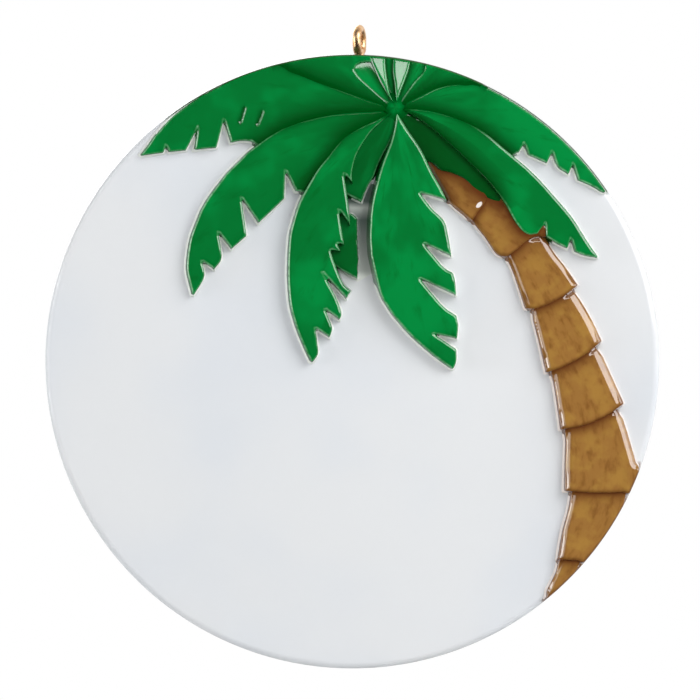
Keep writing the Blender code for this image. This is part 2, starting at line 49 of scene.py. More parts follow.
# the blank carries everything, so the drawing is laid out from its middle
blankLow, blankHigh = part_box("disc_blank")
discMiddle = (blankLow + blankHigh) / 2
discRadius = (blankHigh.x - blankLow.x) / 2
rimReach = discRadius / mm
discFace = blankLow.y


def deselectAll():
    if bpy.context.mode != "OBJECT":
        bpy.ops.object.mode_set(mode="OBJECT")
    bpy.ops.object.select_all(action="DESELECT")


def makeActive(piece):
    deselectAll()
    piece.select_set(True)
    bpy.context.view_layer.objects.active = piece


def useModifier(piece, kind, **settings):
    makeActive(piece)
    modifier = piece.modifiers.new(kind.lower(), kind)
    for key, value in settings.items():
        setattr(modifier, key, value)
    bpy.ops.object.modifier_apply(modifier=modifier.name)


def editAll():
    bpy.ops.object.mode_set(mode="EDIT")
    bpy.ops.mesh.select_all(action="SELECT")


def endEdit():
    bpy.ops.object.mode_set(mode="OBJECT")


def faceOutward():
    # turns every face of the piece in edit mode outward, and leaves edit mode
    bpy.ops.mesh.select_all(action="SELECT")
    bpy.ops.mesh.normals_make_consistent(inside=False)
    endEdit()


def pickParts(piece, kind, test):
    # leaves edit mode open with just these edges or faces selected
    bpy.ops.object.mode_set(mode="EDIT")
    bpy.ops.mesh.select_mode(type=kind)
    bpy.ops.mesh.select_all(action="DESELECT")
    endEdit()
    for part in (piece.data.edges if kind == "EDGE" else piece.data.polygons):
        part.select = test(part)
    bpy.ops.object.mode_set(mode="EDIT")


def newCircle(name, sides, radius=1.0, place=(0, 0, 0)):
    deselectAll()
    bpy.ops.mesh.primitive_circle_add(vertices=sides, radius=radius, fill_type="NGON", location=place)
    bpy.context.object.name = name
    return bpy.context.object


def newObject(name, data):
    item = bpy.data.objects.new(name, data)
    bpy.context.scene.collection.objects.link(item)
    return item


def standUp(place):
    # turns what was made lying down to face the front, and moves it to its place
    bpy.ops.transform.rotate(value=math.pi / 2, orient_axis="X", center_override=(0, 0, 0))
    bpy.ops.transform.translate(value=place)
    bpy.ops.object.transform_apply(location=True, rotation=True, scale=True)


def drawn(point):
    # hundredths of the disc's radius to millimetres, both from the disc's middle
    return np.array(point, float) * rimReach / 100


def grade(value, start, end):
    # nothing at the start and all at the end, eased between them
    share = np.clip((value - start) / (end - start), 0, 1)
    return share * share * (3 - 2 * share)


def falloff(distance, most, width, power=2):
    # the most at no distance, fading over about this width
    return most * np.exp(-(distance / width) ** power)


def lengths(rows):
    return np.linalg.norm(rows, axis=1)


def unit(rows):
    return rows / (lengths(rows)[:, None] + 1e-9)


def inFromRim(spots):
    return rimReach - lengths(spots)


def newMaterial(name):
    material = bpy.data.materials.new(name)
    material.use_nodes = True
    tree = material.node_tree
    return material, tree, tree.nodes["Principled BSDF"]


def plug(tree, node, inputs):
    # a socket is linked, any other value is set
    for key, value in inputs.items():
        if isinstance(value, bpy.types.NodeSocket):
            tree.links.new(value, node.inputs[key])
        else:
            node.inputs[key].default_value = value


def addNode(tree, kind, inputs=None, **settings):
    node = tree.nodes.new(kind)
    for key, value in settings.items():
        setattr(node, key, value)
    plug(tree, node, inputs or {})
    return node


def mathNode(tree, operation, a, b=0.0):
    return addNode(tree, "ShaderNodeMath", {0: a, 1: b}, operation=operation).outputs[0]


def ramp(tree, value, low, high, lowOut=0.0, highOut=1.0):
    inputs = {"Value": value, "From Min": low, "From Max": high, "To Min": lowOut, "To Max": highOut}
    return addNode(tree, "ShaderNodeMapRange", inputs, interpolation_type="SMOOTHSTEP").outputs["Result"]


def layered(tree, paint, first, layers):
    # one paint over another, each where its factor says; the mix node's colours go by number
    tint = paint[first]
    for name, factor in layers.items():
        inputs = {0: factor, 6: tint, 7: paint[name]}
        tint = addNode(tree, "ShaderNodeMix", inputs, data_type="RGBA").outputs[2]
    return tint


def readField(tree, name, output="Fac"):
    return addNode(tree, "ShaderNodeAttribute", attribute_name=name).outputs[output]


def noise(tree, vector, scale, detail=3.0, roughness=0.55, stretch=None):
    if stretch:
        vector = addNode(tree, "ShaderNodeMapping", {"Vector": vector, "Scale": stretch}).outputs["Vector"]
    inputs = {"Vector": vector, "Scale": scale, "Detail": detail, "Roughness": roughness}
    return addNode(tree, "ShaderNodeTexNoise", inputs).outputs["Fac"]


def bump(tree, shader, height, distance):
    node = addNode(tree, "ShaderNodeBump", {"Height": height, "Distance": distance, "Strength": 1.0})
    tree.links.new(node.outputs["Normal"], shader.inputs["Normal"])


def srgb(red, green, blue):
    # a colour as a paint chart gives it, 0 to 255
    def linear(channel):
        share = channel / 255
        return share / 12.92 if share <= 0.04045 else ((share + 0.055) / 1.055) ** 2.4
    return (linear(red), linear(green), linear(blue), 1.0)


# a noise is given by its scale, detail, roughness and stretch
discPaint = {
    "white": srgb(232, 234, 236),
    "cool": srgb(226, 230, 235),
    "lapAndShadeGreen": srgb(78, 104, 78),      # paint that ran over the rim above the fronds, darkened as painted shade
    "lapAndShadeBrown": srgb(132, 96, 68),
    "clouds": (38.0, 2.0), "coolFrom": (0.35, 0.7), "gloss": 0.10, "ripple": (160.0, 2.0), "wave": 0.00002,
}


def makeDiscFinish():
    material, tree, shader = newMaterial("lacquered_white_resin")
    spot = addNode(tree, "ShaderNodeTexCoord").outputs["Object"]
    tint = layered(tree, discPaint, "white", {
        "cool": ramp(tree, noise(tree, spot, *discPaint["clouds"]), *discPaint["coolFrom"]),
        "lapAndShadeGreen": readField(tree, "lapAndShadeGreen"),
        "lapAndShadeBrown": readField(tree, "lapAndShadeBrown"),
    })
    plug(tree, shader, {"Base Color": tint, "Roughness": discPaint["gloss"]})
    bump(tree, shader, noise(tree, spot, *discPaint["ripple"]), discPaint["wave"])
    return material


# the ragged edge of the paint near the foot of a wall, and how its gloss ends there
paintEdge = {
    "fray": (1.6, 2.0), "ragged": (0.3, 0.7, -0.14, 0.14), "bare": (0.35, 0.65),
    "bareRough": 0.5, "dullAt": 0.8, "coatRough": 0.04,
}


def raggedEdge(tree, flow):
    # the noise that frays the paint's edge, and where the wall below it is bare
    wobble = noise(tree, flow, *paintEdge["fray"])
    frayed = mathNode(tree, "ADD", readField(tree, "bare"), ramp(tree, wobble, *paintEdge["ragged"]))
    return wobble, ramp(tree, frayed, *paintEdge["bare"])


def coatPaint(tree, shader, paint, unpainted, matt):
    # clear gloss over the paint, and none where it is matt
    plug(tree, shader, {
        "Roughness": ramp(tree, unpainted, 0.0, 1.0, paint["gloss"], paintEdge["bareRough"]),
        "Coat Weight": ramp(tree, matt, 0.0, paintEdge["dullAt"], paint["coat"], 0.0),
        "Coat Roughness": paintEdge["coatRough"],
    })


leafPaint = {
    "bright": srgb(0, 140, 62),
    "mid": srgb(0, 118, 48),
    "streak": srgb(0, 104, 36),
    # the dark green of pooled paint and of painted shade
    "pooledAndShaded": srgb(0, 70, 16),
    "thinAndSheen": srgb(138, 204, 156),        # where the edge turns over: thin paint and a painted highlight
    "bare": srgb(232, 236, 230),        # the foot of the wall, left unpainted
    # the dark line where the paint runs over the rim: painted shade
    "rim": srgb(70, 100, 66),
    # the painted shadow in the gap beside the leaf behind
    "slotShadow": srgb(82, 98, 92),
    "strokes": (1.3, 4.0, 0.55, (1.0, 0.16, 1.0)), "clouds": (0.22, 2.0, 0.55, (1.0, 0.6, 1.0)),
    "midFrom": (0.40, 0.64), "streakFrom": (0.54, 0.74, 0.0, 0.55), "thinAndSheenFrom": (0.32, 0.6, 0.25, 1.0),
    "specular": 0.5, "coat": 0.8, "gloss": 0.08, "brush": 0.000008, "shade": 0.40,
}


def makeLeafFinish(name, shade):
    material, tree, shader = newMaterial(name)
    flow = readField(tree, "flow", "Vector")
    strokes = noise(tree, flow, *leafPaint["strokes"])
    tone = mathNode(tree, "ADD", noise(tree, flow, *leafPaint["clouds"]), readField(tree, "tone"))
    wobble, unpainted = raggedEdge(tree, flow)
    patchy = ramp(tree, wobble, *leafPaint["thinAndSheenFrom"])
    layers = {
        "mid": ramp(tree, tone, *leafPaint["midFrom"]),
        "streak": ramp(tree, strokes, *leafPaint["streakFrom"]),
        "pooledAndShaded": mathNode(tree, "MAXIMUM", readField(tree, "poolAndShade"), shade),
        "thinAndSheen": mathNode(tree, "MULTIPLY", readField(tree, "thinAndSheen"), patchy),
        "bare": unpainted,
        "rim": readField(tree, "rim"),
    }
    if shade:
        layers["slotShadow"] = readField(tree, "slotShadow")
    # the paint is dull over the rim and in the creases
    dull = readField(tree, "dull")
    plug(tree, shader, {
        "Base Color": layered(tree, leafPaint, "bright", layers),
        "Specular IOR Level": ramp(tree, dull, 0.0, paintEdge["dullAt"], leafPaint["specular"], 0.0),
    })
    coatPaint(tree, shader, leafPaint, unpainted, mathNode(tree, "MAXIMUM", dull, unpainted))
    bump(tree, shader, strokes, leafPaint["brush"])
    return material


barkPaint = {
    "brown": srgb(160, 114, 56),
    "ochre": srgb(174, 130, 61),
    "dark": srgb(137, 92, 43),
    # the dark brown beneath the lips and the fronds: dark paint and painted shade
    "under": srgb(96, 48, 20),
    "bare": srgb(236, 226, 220),
    # the dark line where the paint runs over the rim: painted shade
    "rim": srgb(126, 90, 62),
    "grain": (1.1, 3.5, 0.6, (1.0, 0.34, 1.0)), "blotches": (0.36, 3.0),
    "brownFrom": (0.30, 0.56), "ochreFrom": (0.44, 0.66, 0.0, 0.8),
    "coat": 1.0, "gloss": 0.09, "brush": 0.000012,
}


def makeBarkFinish():
    material, tree, shader = newMaterial("streaked_brown_paint")
    flow = readField(tree, "flow", "Vector")
    grain = noise(tree, flow, *barkPaint["grain"])
    unpainted = raggedEdge(tree, flow)[1]
    brown = layered(tree, barkPaint, "dark", {
        "brown": ramp(tree, grain, *barkPaint["brownFrom"]),
        "ochre": ramp(tree, noise(tree, flow, *barkPaint["blotches"]), *barkPaint["ochreFrom"]),
        "under": readField(tree, "poolAndShade"),
        "bare": unpainted,
        "rim": readField(tree, "rim"),
    })
    plug(tree, shader, {"Base Color": brown})
    coatPaint(tree, shader, barkPaint, unpainted, unpainted)
    bump(tree, shader, grain, barkPaint["brush"])
    return material


eyePlate = {
    "gold": srgb(238, 198, 152),
    "warm": srgb(208, 152, 98),
    "wear": (900.0, 3.0), "warmFrom": (0.4, 0.7), "roughFrom": (0.3, 0.8, 0.26, 0.52), "scuff": 0.000004,
}


def makeEyeFinish():
    material, tree, shader = newMaterial("gilt_wire")
    spot = addNode(tree, "ShaderNodeTexCoord").outputs["Object"]
    worn = noise(tree, spot, *eyePlate["wear"])
    plug(tree, shader, {
        "Base Color": layered(tree, eyePlate, "gold", {"warm": ramp(tree, worn, *eyePlate["warmFrom"])}),
        "Metallic": 1.0,
        "Roughness": ramp(tree, worn, *eyePlate["roughFrom"]),
    })
    bump(tree, shader, worn, eyePlate["scuff"])
    return material


def footLoop(nodeName):
    # the closed outline of a piece where it sits on the face, in millimetres, counterclockwise
    bm = bmesh.new()
    bm.from_mesh(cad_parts[nodeName].data)
    bmesh.ops.remove_doubles(bm, verts=bm.verts, dist=same)
    lowest = max(vert.co.y for vert in bm.verts)
    under = {face for face in bm.faces if all(vert.co.y > lowest - level for vert in face.verts)}
    ways = {}
    for edge in bm.edges:
        if sum(face in under for face in edge.link_faces) == 1:
            for vert in edge.verts:
                ways.setdefault(vert, []).append(edge.other_vert(vert))
    loop = [next(iter(ways))]
    while len(loop) < len(ways):
        loop.append(next(vert for vert in ways[loop[-1]] if vert not in loop[-2:]))
    spots = np.array([((vert.co.x - discMiddle.x) / mm, (vert.co.z - discMiddle.z) / mm) for vert in loop])
    bm.free()
    area = np.sum(spots[:, 0] * np.roll(spots[:, 1], -1) - np.roll(spots[:, 0], -1) * spots[:, 1])
    return spots if area > 0 else spots[::-1]


def throughPoints(points, spacing):
    # an even run of points on a smooth curve through the given ones
    points = np.asarray(points)
    ends = np.vstack([2 * points[0] - points[1], points, 2 * points[-1] - points[-2]])
    line = []
    for a, b, c, d in zip(ends, ends[1:], ends[2:], ends[3:]):
        count = max(1, round(np.linalg.norm(c - b) / spacing))
        for t in np.arange(count) / count:
            pull = (c - a) * t + (2 * a - 5 * b + 4 * c - d) * t ** 2 + (3 * b - a - 3 * c + d) * t ** 3
            line.append(b + 0.5 * pull)
    return line


def turning(loop):
    # how far an outline turns at each point, in degrees, negative at the inner end of a notch
    before = loop - np.roll(loop, 1, axis=0)
    after = np.roll(loop, -1, axis=0) - loop
    return np.degrees(np.arctan2(
        before[:, 0] * after[:, 1] - before[:, 1] * after[:, 0],
        before[:, 0] * after[:, 0] + before[:, 1] * after[:, 1],
    ))


def smoothLoop(loop, spacing=0.2, corner=42):
    # the outline with its tips and snips kept sharp and the runs between them rounded
    corners = np.flatnonzero(np.abs(turning(loop)) > corner)
    if len(corners) == 0:
        return loop
    line = []
    for first, last in zip(corners, np.append(corners[1:], corners[0] + len(loop))):
        line += throughPoints(loop[np.arange(first, last + 1) % len(loop)], spacing)
    return np.array(line)


def snips(loop, corner=50):
    # the inner ends of the notches cut into an outline
    return loop[turning(loop) < -corner]


def outward(loop, limit=1.6):
    # the way out of an outline at each point, longer at its tips but held back at sharp ones
    edge = unit(np.roll(loop, -1, axis=0) - loop)
    out = np.stack([edge[:, 1], -edge[:, 0]], axis=1)
    both = out + np.roll(out, 1, axis=0)
    size = np.maximum(lengths(both), 1e-6)[:, None]
    return both / size * np.minimum(2 / size, limit)


def widened(loop, distance, short=0.06):
    # the outline moved out by a distance, one for all points or one for each, within the rim
    moved = loop + outward(loop) * np.reshape(distance, (-1, 1))
    return moved * np.minimum(1, (rimReach - short) / lengths(moved))[:, None]


def closeRun(loop, spacing=0.05):
    # the outline with points close together
    line = []
    for a, b in zip(loop, np.roll(loop, -1, axis=0)):
        count = max(1, math.ceil(np.linalg.norm(b - a) / spacing))
        line += [a + (b - a) * step / count for step in range(count)]
    return np.array(line)


def nearestOn(spots, points):
    # how far each spot is from a run of points, and which point is nearest
    tree = KDTree(len(points))
    for index, (u, v) in enumerate(points):
        tree.insert((u, v, 0), index)
    tree.balance()
    found = [tree.find((u, v, 0)) for u, v in spots]
    return np.array([hit[2] for hit in found]), np.array([hit[1] for hit in found])


def isInside(spots, loop):
    # whether each spot is within a closed outline
    odd = np.zeros(len(spots), bool)
    for a, b in zip(loop, np.roll(loop, -1, axis=0)):
        if a[1] == b[1]:
            continue
        crosses = (a[1] > spots[:, 1]) != (b[1] > spots[:, 1])
        odd ^= crosses & (spots[:, 0] < (b[0] - a[0]) * (spots[:, 1] - a[1]) / (b[1] - a[1]) + a[0])
    return odd


def distanceIn(spots, loop):
    # distance from an outline, positive inside it
    far = nearestOn(spots, closeRun(loop))[0]
    return np.where(isInside(spots, loop), far, -far)


# where the fronds meet, how near to it they come, and from where on they are drawn in to it
crown = {"place": drawn((13.9, 82.6)), "meet": 0.55, "outer": 3.6, "far": 3.1}

# height of each frond at the crown, half way and at its end, in millimetres; how dark its green is; what
# lies over it; and what its edge melts into, up to which share of its length
fronds = {
    "frond_far_left": {"spine": (1.62, 1.38, 0.95), "tone": 0.12, "under": ("frond_left",),
                       "melts": {"frond_upper_left": 1.5}},
    "frond_left": {"spine": (1.68, 1.70, 1.25), "tone": 0.10, "under": ("frond_lower_left",),
                   "melts": {"frond_far_left": 0.35}},
    "frond_lower_left": {"spine": (1.75, 2.10, 1.45), "tone": 0.13, "melts": {"frond_left": 0.18}},
    "frond_behind": {"spine": (1.52, 1.05, 0.90), "tone": 0.05},
    "frond_behind_tip": {"spine": (0.95, 0.95, 0.95), "tone": 0.05},
    "frond_centre": {"spine": (1.75, 2.15, 1.45), "tone": 0.0},
    "frond_shaded": {"spine": (1.50, 1.40, 1.35), "tone": 0.05, "under": ("frond_centre", "frond_right")},
    "frond_right": {"spine": (1.70, 1.85, 1.25), "tone": 0.08, "melts": {"frond_far_right": 0.25}},
    "frond_far_right": {"spine": (1.62, 1.38, 0.90), "tone": -0.10, "under": ("frond_right",),
                        "melts": {"frond_upper_right": 1.5}},
    "frond_upper_left": {"spine": (1.55, 1.47, 1.28), "tone": 0.02, "under": ("frond_far_left",)},
    "frond_upper_right": {"spine": (1.57, 1.51, 1.41), "tone": -0.05, "under": ("frond_far_right",)},
    "top_leaflet_1": {"spine": (1.62, 1.46, 0.94), "tone": 0.0, "under": ("top_leaflet_2",)},
    "top_leaflet_2": {"spine": (2.10, 1.40, 0.70), "tone": 0.0},
    "top_leaflet_3": {"spine": (1.50, 1.08, 0.66), "tone": -0.02,
                      "under": ("top_leaflet_2", "top_leaflet_4")},
    "top_leaflet_4": {"spine": (2.10, 1.40, 0.70), "tone": 0.0},
    "top_leaflet_5": {"spine": (1.56, 1.16, 0.76), "tone": -0.02, "under": ("top_leaflet_4",)},
}
# the fronds in shade, and how deep it is
shadedFronds = {"frond_behind": 0.42, "frond_behind_tip": 0.46, "frond_shaded": 0.88}
# a frond darkened along one side as painted shade, how far in, and up to which share of its length
underside = {"node": "frond_right", "beside": "frond_shaded", "dark": (0.92, 1.8), "until": (0.5, 0.7)}
edgeEnds = {"frond_upper_right": (0.40, 0.50)}    # the shares of its length where a pale edge ends
facets = ("top_leaflet_2", "top_leaflet_4")       # flat leaflets that catch the light
# how the outlines that all but reach the rim are carried out to it, in millimetres from the rim
atRim = {"frond_far_left": {"start": 1.3, "end": 0.3}, "frond_far_right": {"short": 0.34}}

# pieces drawn on beneath those in front of them, counterclockwise
drawnOn = {
    "frond_behind": [
        (13.6, 82.0), (8.3, 78.2), (1.8, 73.3), (-1.8, 68.1), (-4.0, 60.9), (-3.2, 55.1), (-1.2, 53.8),
        (2.9, 51.8), (4.1, 55.1), (5.3, 57.6), (6.8, 60.1), (8.3, 64.1), (10.3, 68.1), (11.8, 70.8),
        (13.8, 75.9),
    ],
    "frond_behind_tip": [
        (-2.1, 54.5), (-5.3, 50.0), (-6.6, 42.0), (-8.0, 36.4), (-7.5, 32.9), (-5.1, 30.4), (-2.0, 28.6),
        (1.7, 26.6), (3.6, 27.6), (7.2, 30.0), (7.0, 35.0), (7.0, 40.0), (7.4, 48.0), (8.6, 57.0),
        (4.5, 57.0),
    ],
    "frond_shaded": [
        (14.6, 81.6), (14.8, 76.0), (20.5, 67.0), (23.9, 65.2), (25.4, 64.6), (28.3, 62.2), (31.5, 61.4),
        (36.0, 59.4), (39.2, 56.4), (42.4, 53.9), (45.6, 52.1), (48.8, 50.2), (50.1, 52.3), (45.0, 58.0),
        (38.6, 65.1), (31.5, 72.2), (25.0, 77.3), (18.6, 80.5),
    ],
    "frond_upper_left": [
        (5.4, 99.6), (0.0, 99.8), (-6.0, 99.6), (-12.0, 99.1), (-18.0, 98.2), (-24.0, 96.9),
        (-24.5, 94.0), (-16.5, 90.5), (-6.5, 86.5), (5.0, 82.8), (11.5, 82.3), (12.8, 83.0), (9.1, 86.2),
        (6.1, 88.9), (2.4, 92.3), (0.5, 94.9), (1.4, 96.4), (3.0, 97.1), (6.2, 97.3),
    ],
    "frond_upper_right": [
        (23.2, 97.0), (22.9, 94.3), (19.7, 90.7), (16.2, 85.9), (14.6, 83.0), (20.5, 83.3), (25.2, 85.8),
        (28.8, 87.3), (35.6, 87.5), (41.8, 88.2), (41.2, 90.8), (35.2, 93.3), (29.2, 95.3), (25.5, 96.4),
    ],
    "top_leaflet_1": [
        (-0.4, 95.0), (1.7, 91.8), (5.5, 88.3), (8.5, 85.6), (12.4, 82.8), (13.4, 83.3), (12.4, 86.0),
        (9.4, 91.5), (6.4, 98.0), (2.7, 97.9), (0.6, 97.0),
    ],
    "top_leaflet_2": [
        (4.8, 99.6), (7.0, 94.6), (9.4, 90.0), (12.0, 85.4), (13.6, 83.1), (13.2, 84.6), (12.1, 86.8),
        (11.6, 89.5), (11.0, 93.2), (10.5, 97.7), (10.4, 99.3),
    ],
    "top_leaflet_3": [
        (9.6, 99.4), (10.0, 95.0), (10.8, 90.0), (12.8, 85.0), (13.8, 83.0), (14.4, 85.0), (14.2, 90.0),
        (14.0, 95.0), (14.0, 98.9),
    ],
    "top_leaflet_4": [
        (13.0, 99.0), (12.9, 94.0), (13.4, 90.2), (13.8, 85.8), (14.1, 83.2), (14.8, 85.2), (15.5, 87.3),
        (16.6, 90.2), (18.2, 94.7), (18.8, 98.0),
    ],
    "top_leaflet_5": [
        (17.6, 98.2), (16.8, 94.0), (15.2, 89.5), (14.2, 85.5), (14.2, 83.1), (15.2, 82.9), (17.0, 85.4),
        (20.6, 90.2), (24.0, 93.9), (24.3, 96.7),
    ],
    "trunk_scale_1": [
        (38.9, 45.7), (40.5, 48.1), (42.1, 50.4), (43.6, 52.6), (44.5, 55.5), (42.0, 58.2), (36.6, 61.2),
        (30.2, 64.5), (25.0, 66.7), (24.1, 64.5), (26.7, 60.0), (29.9, 54.2), (31.6, 51.5), (33.7, 49.5),
        (37.3, 46.6),
    ],
    "trunk_scale_2": [
        (38.9, 45.8), (43.1, 40.4), (46.9, 34.9), (50.1, 33.9), (53.3, 36.2), (56.6, 39.1), (59.8, 40.6),
        (62.7, 40.4), (63.3, 43.9), (56.6, 49.7), (50.1, 56.1), (45.0, 58.0), (41.1, 54.8), (37.3, 49.7),
    ],
    "trunk_scale_3": [
        (49.6, 35.0), (50.1, 33.6), (51.7, 30.4), (54.0, 24.0), (56.2, 17.2), (59.1, 17.0), (63.6, 18.5),
        (68.8, 21.4), (72.3, 24.0), (73.2, 24.9), (69.4, 30.4), (65.6, 35.2), (62.9, 39.9), (62.9, 42.0),
        (59.5, 42.6), (54.0, 39.5),
    ],
}
# the leaf behind stands up within this line, and beside it a low sheet darkened as a painted shadow fills
# the gap, faded to these shares at these heights
slotShadow = {
    "node": "frond_behind_tip", "low": 0.04, "edge": (-0.1, 0.18),
    "line": drawn([
        (0.0, 48.1), (-2.1, 48.9), (-5.3, 48.6), (-6.6, 42.0), (-8.0, 36.4), (-7.5, 32.9), (-5.1, 30.4),
        (-2.0, 28.6), (1.7, 26.6), (2.1, 32.9), (1.8, 39.8), (1.7, 46.6),
    ]),
    "shadeFade": (drawn([27.5, 29.5, 36, 46, 48, 50, 52]), [1.0, 0.6, 0.4, 0.05, 0.3, 0.6, 0.0]),
}

# two short cuts inside the far left frond, with a painted highlight on their right side and painted shade
# on their left
slits = {
    "lines": [drawn([(-35.0, 82.2), (-36.3, 77.9)]), drawn([(-29.2, 81.0), (-30.7, 77.2)])],
    "node": "frond_far_left", "steps": 60, "cut": (1, 0.16), "deep": 0.24,
    "pale": (0.9, 0.10), "paleAt": 0.12, "dark": 0.9, "darkSide": (1, 0.44),
}

# height of each scale of the trunk at its neck and its lip, how far its left and right sides are
# bevelled, and what lies over it
scales = {
    "trunk_scale_1": {"neck": 0.85, "lip": 1.25, "bevels": (0.30, 0.0),
                      "under": ("frond_centre", "frond_shaded")},
    "trunk_scale_2": {"neck": 0.90, "lip": 1.50, "bevels": (0.45, 0.0),
                      "under": ("frond_right", "frond_shaded", "trunk_scale_1")},
    "trunk_scale_3": {"neck": 1.10, "lip": 1.72, "bevels": (0.65, 0.70),
                      "under": ("frond_right", "trunk_scale_2")},
    "trunk_scale_4": {"neck": 1.38, "lip": 1.86, "bevels": (0.65, 0.95), "under": ("trunk_scale_3",)},
    "trunk_scale_5": {"neck": 1.50, "lip": 1.92, "bevels": (0.65, 0.95), "under": ("trunk_scale_4",)},
    "trunk_scale_6": {"neck": 1.52, "lip": 1.92, "bevels": (0.65, 0.80), "under": ("trunk_scale_5",)},
    "trunk_scale_7": {"neck": 1.48, "lip": 1.72, "bevels": (0.65, 0.0), "under": ("trunk_scale_6",)},
    "trunk_scale_8": {"neck": 1.25, "lip": 1.20, "bevels": (0.45, 0.0), "under": ("trunk_scale_7",)},
}
relief = {**fronds, **scales}
# how near to what lies over it an edge is carried on beneath it, and how far
tuck = {"frond": 0.75, "scale": 1.5, "soft": 0.25, "lap": 0.35}


def drawnIn(loop):
    # the inner end of a frond carried on until it all but meets the others
    away = loop - crown["place"]
    reach = lengths(away)
    first = reach.min()
    if first > crown["far"]:
        return loop
    closer = crown["meet"] + (reach - first) * (crown["outer"] - crown["meet"]) / (crown["outer"] - first)
    share = np.where(reach < crown["outer"], closer / reach, 1)
    return crown["place"] + away * share[:, None]


def carriedToRim(loop, start=1.0, end=0.5, short=0.08):
    # an outline that stops just short of the rim is carried out to it
    inside = inFromRim(loop)
    grow = (inside - short) * grade(inside, start, end)
    return loop * (1 + grow / lengths(loop))[:, None]


def tucked(loop, covers, near):
    # the outline carried on beneath the pieces that lie over it, where they are near
    moved = loop.copy()
    for other in covers:
        run = closeRun(plain[other])
        far, index = nearestOn(loop, run)
        way = run[index] - loop
        outside = ~isInside(loop, plain[other])
        push = (far + tuck["lap"]) * grade(far, near, near - tuck["soft"]) * outside
        moved += way / np.maximum(lengths(way), 1e-6)[:, None] * push[:, None]
    return moved


plain = {}
for node in relief:
    if node in drawnOn:
        loop = smoothLoop(drawn(drawnOn[node]))
    else:
        loop = smoothLoop(footLoop(node))
        if node in fronds:
            loop = drawnIn(loop)
    plain[node] = carriedToRim(loop, **atRim.get(node, {}))
outlines = dict(plain)
for node, form in relief.items():
    if node not in drawnOn:
        near = tuck["frond"] if node in fronds else tuck["scale"]
        outlines[node] = tucked(plain[node], form.get("under", ()), near)
print("outlines read:", len(outlines))

# an outline is pressed up, remeshed fine and softened, then given its heights
press = {
    "sink": 0.38, "rise": 1.5, "foot": 0.36, "brow": -0.09,
    "lean": 0.09,                        # left walls lean more than right ones
    "rimRound": 0.9, "steepest": 0.98,   # the blank's rounded edge, and how far out on it a foot goes
    "voxel": 0.13, "soften": 6, "softness": 0.5,
}


def leaning(loop):
    return press["lean"] * np.clip(outward(loop)[:, 0], -1, 1)


def browLine(loop):
    # where the wall turns over into the top
    return widened(loop, press["brow"] + leaning(loop))


def pressOutline(name, loop):
    foot = widened(loop, press["foot"] - leaning(loop))
    brow = browLine(loop)
    piece = newCircle(name, len(loop))

    def place(verts, ring, rise):
        for vert, (u, v), height in zip(verts, ring, rise):
            vert.co = (discMiddle.x + u * mm, discFace - height * mm, discMiddle.z + v * mm)

    # the foot goes deeper where the blank's edge rounds away below it
    edge = press["rimRound"]
    over = np.clip(edge - inFromRim(foot), 0, edge * press["steepest"])
    drop = edge - np.sqrt(edge ** 2 - over ** 2)
    place(piece.data.vertices, foot, -press["sink"] - drop)
    editAll()
    bpy.ops.mesh.extrude_region_move()
    endEdit()
    top = [vert for vert in piece.data.vertices if vert.select]
    place(top, brow, [press["rise"]] * len(brow))
    editAll()
    faceOutward()
    useModifier(piece, "REMESH", mode="VOXEL", voxel_size=press["voxel"] * mm)
    clearCrumbs(piece)
    useModifier(piece, "SMOOTH", factor=press["softness"], iterations=press["soften"])
    return piece


def clearCrumbs(piece):
    # the remesh can leave crumbs at a thin tip: only the largest body is kept
    bm = bmesh.new()
    bm.from_mesh(piece.data)
    left, bodies = set(bm.verts), []
    while left:
        body, edge = set(), {left.pop()}
        while edge:
            body |= edge
            edge = {link.other_vert(vert) for vert in edge for link in vert.link_edges} & left
            left -= edge
        bodies.append(body)
    crumbs = list(set(bm.verts) - max(bodies, key=len))
    if crumbs:
        bmesh.ops.delete(bm, geom=crumbs, context="VERTS")
        bm.to_mesh(piece.data)
    bm.free()


def readSpots(piece):
    # where a piece's points are, then on the disc's face and up from it in millimetres
    places = np.empty(len(piece.data.vertices) * 3)
    piece.data.vertices.foreach_get("co", places)
    places = places.reshape(-1, 3)
    spots = np.stack([(places[:, 0] - discMiddle.x) / mm, (places[:, 2] - discMiddle.z) / mm], axis=1)
    heights = (discFace - places[:, 1]) / mm
    return places, spots, heights


def writeSpots(piece, places, heights, fields):
    places[:, 1] = discFace - heights * mm
    piece.data.vertices.foreach_set("co", places.ravel())
    writeFields(piece, fields)
    piece.data.update()


def writeFields(piece, fields):
    # values for the finishes to read, one for each point
    for name, values in fields.items():
        if values.ndim == 1:
            field = piece.data.attributes.new(name, "FLOAT", "POINT")
            field.data.foreach_set("value", values)
        else:
            full = np.concatenate([values, np.zeros((len(values), 1))], axis=1)
            field = piece.data.attributes.new(name, "FLOAT_VECTOR", "POINT")
            field.data.foreach_set("vector", full.ravel())


def finishPiece(piece, node, body, material, angle=60):
    piece.data.materials.clear()
    piece.data.materials.append(material)
    makeActive(piece)
    bpy.ops.object.shade_smooth_by_angle(angle=math.radians(angle))
    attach(piece, body)
    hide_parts(node)


def nearOthers(node, spots, others, spacing=0.15):
    # distance from the nearest of these pieces, nothing within one
    loops = [plain[other] for other in others if other != node]
    far = nearestOn(spots, np.vstack([closeRun(loop, spacing) for loop in loops]))[0]
    for loop in loops:
        if np.all(loop.min(axis=0) < spots.max(axis=0)) and np.all(loop.max(axis=0) > spots.min(axis=0)):
            far[isInside(spots, loop)] = 0
    return far


# a wall's foot is bare this far from other pieces and from the shaded fronds, and up to a share of its
# height that is less on left walls; near the rim it is painted over in a dark line of painted shade
wall = {
    "apart": (0.35, 0.70), "fromShade": (0.9, 2.5), "rim": (0.34, 0.18),
    "bareTo": 0.90, "leftLess": 0.16, "soft": (-0.30, -0.08), "tilt": 0.15,
}


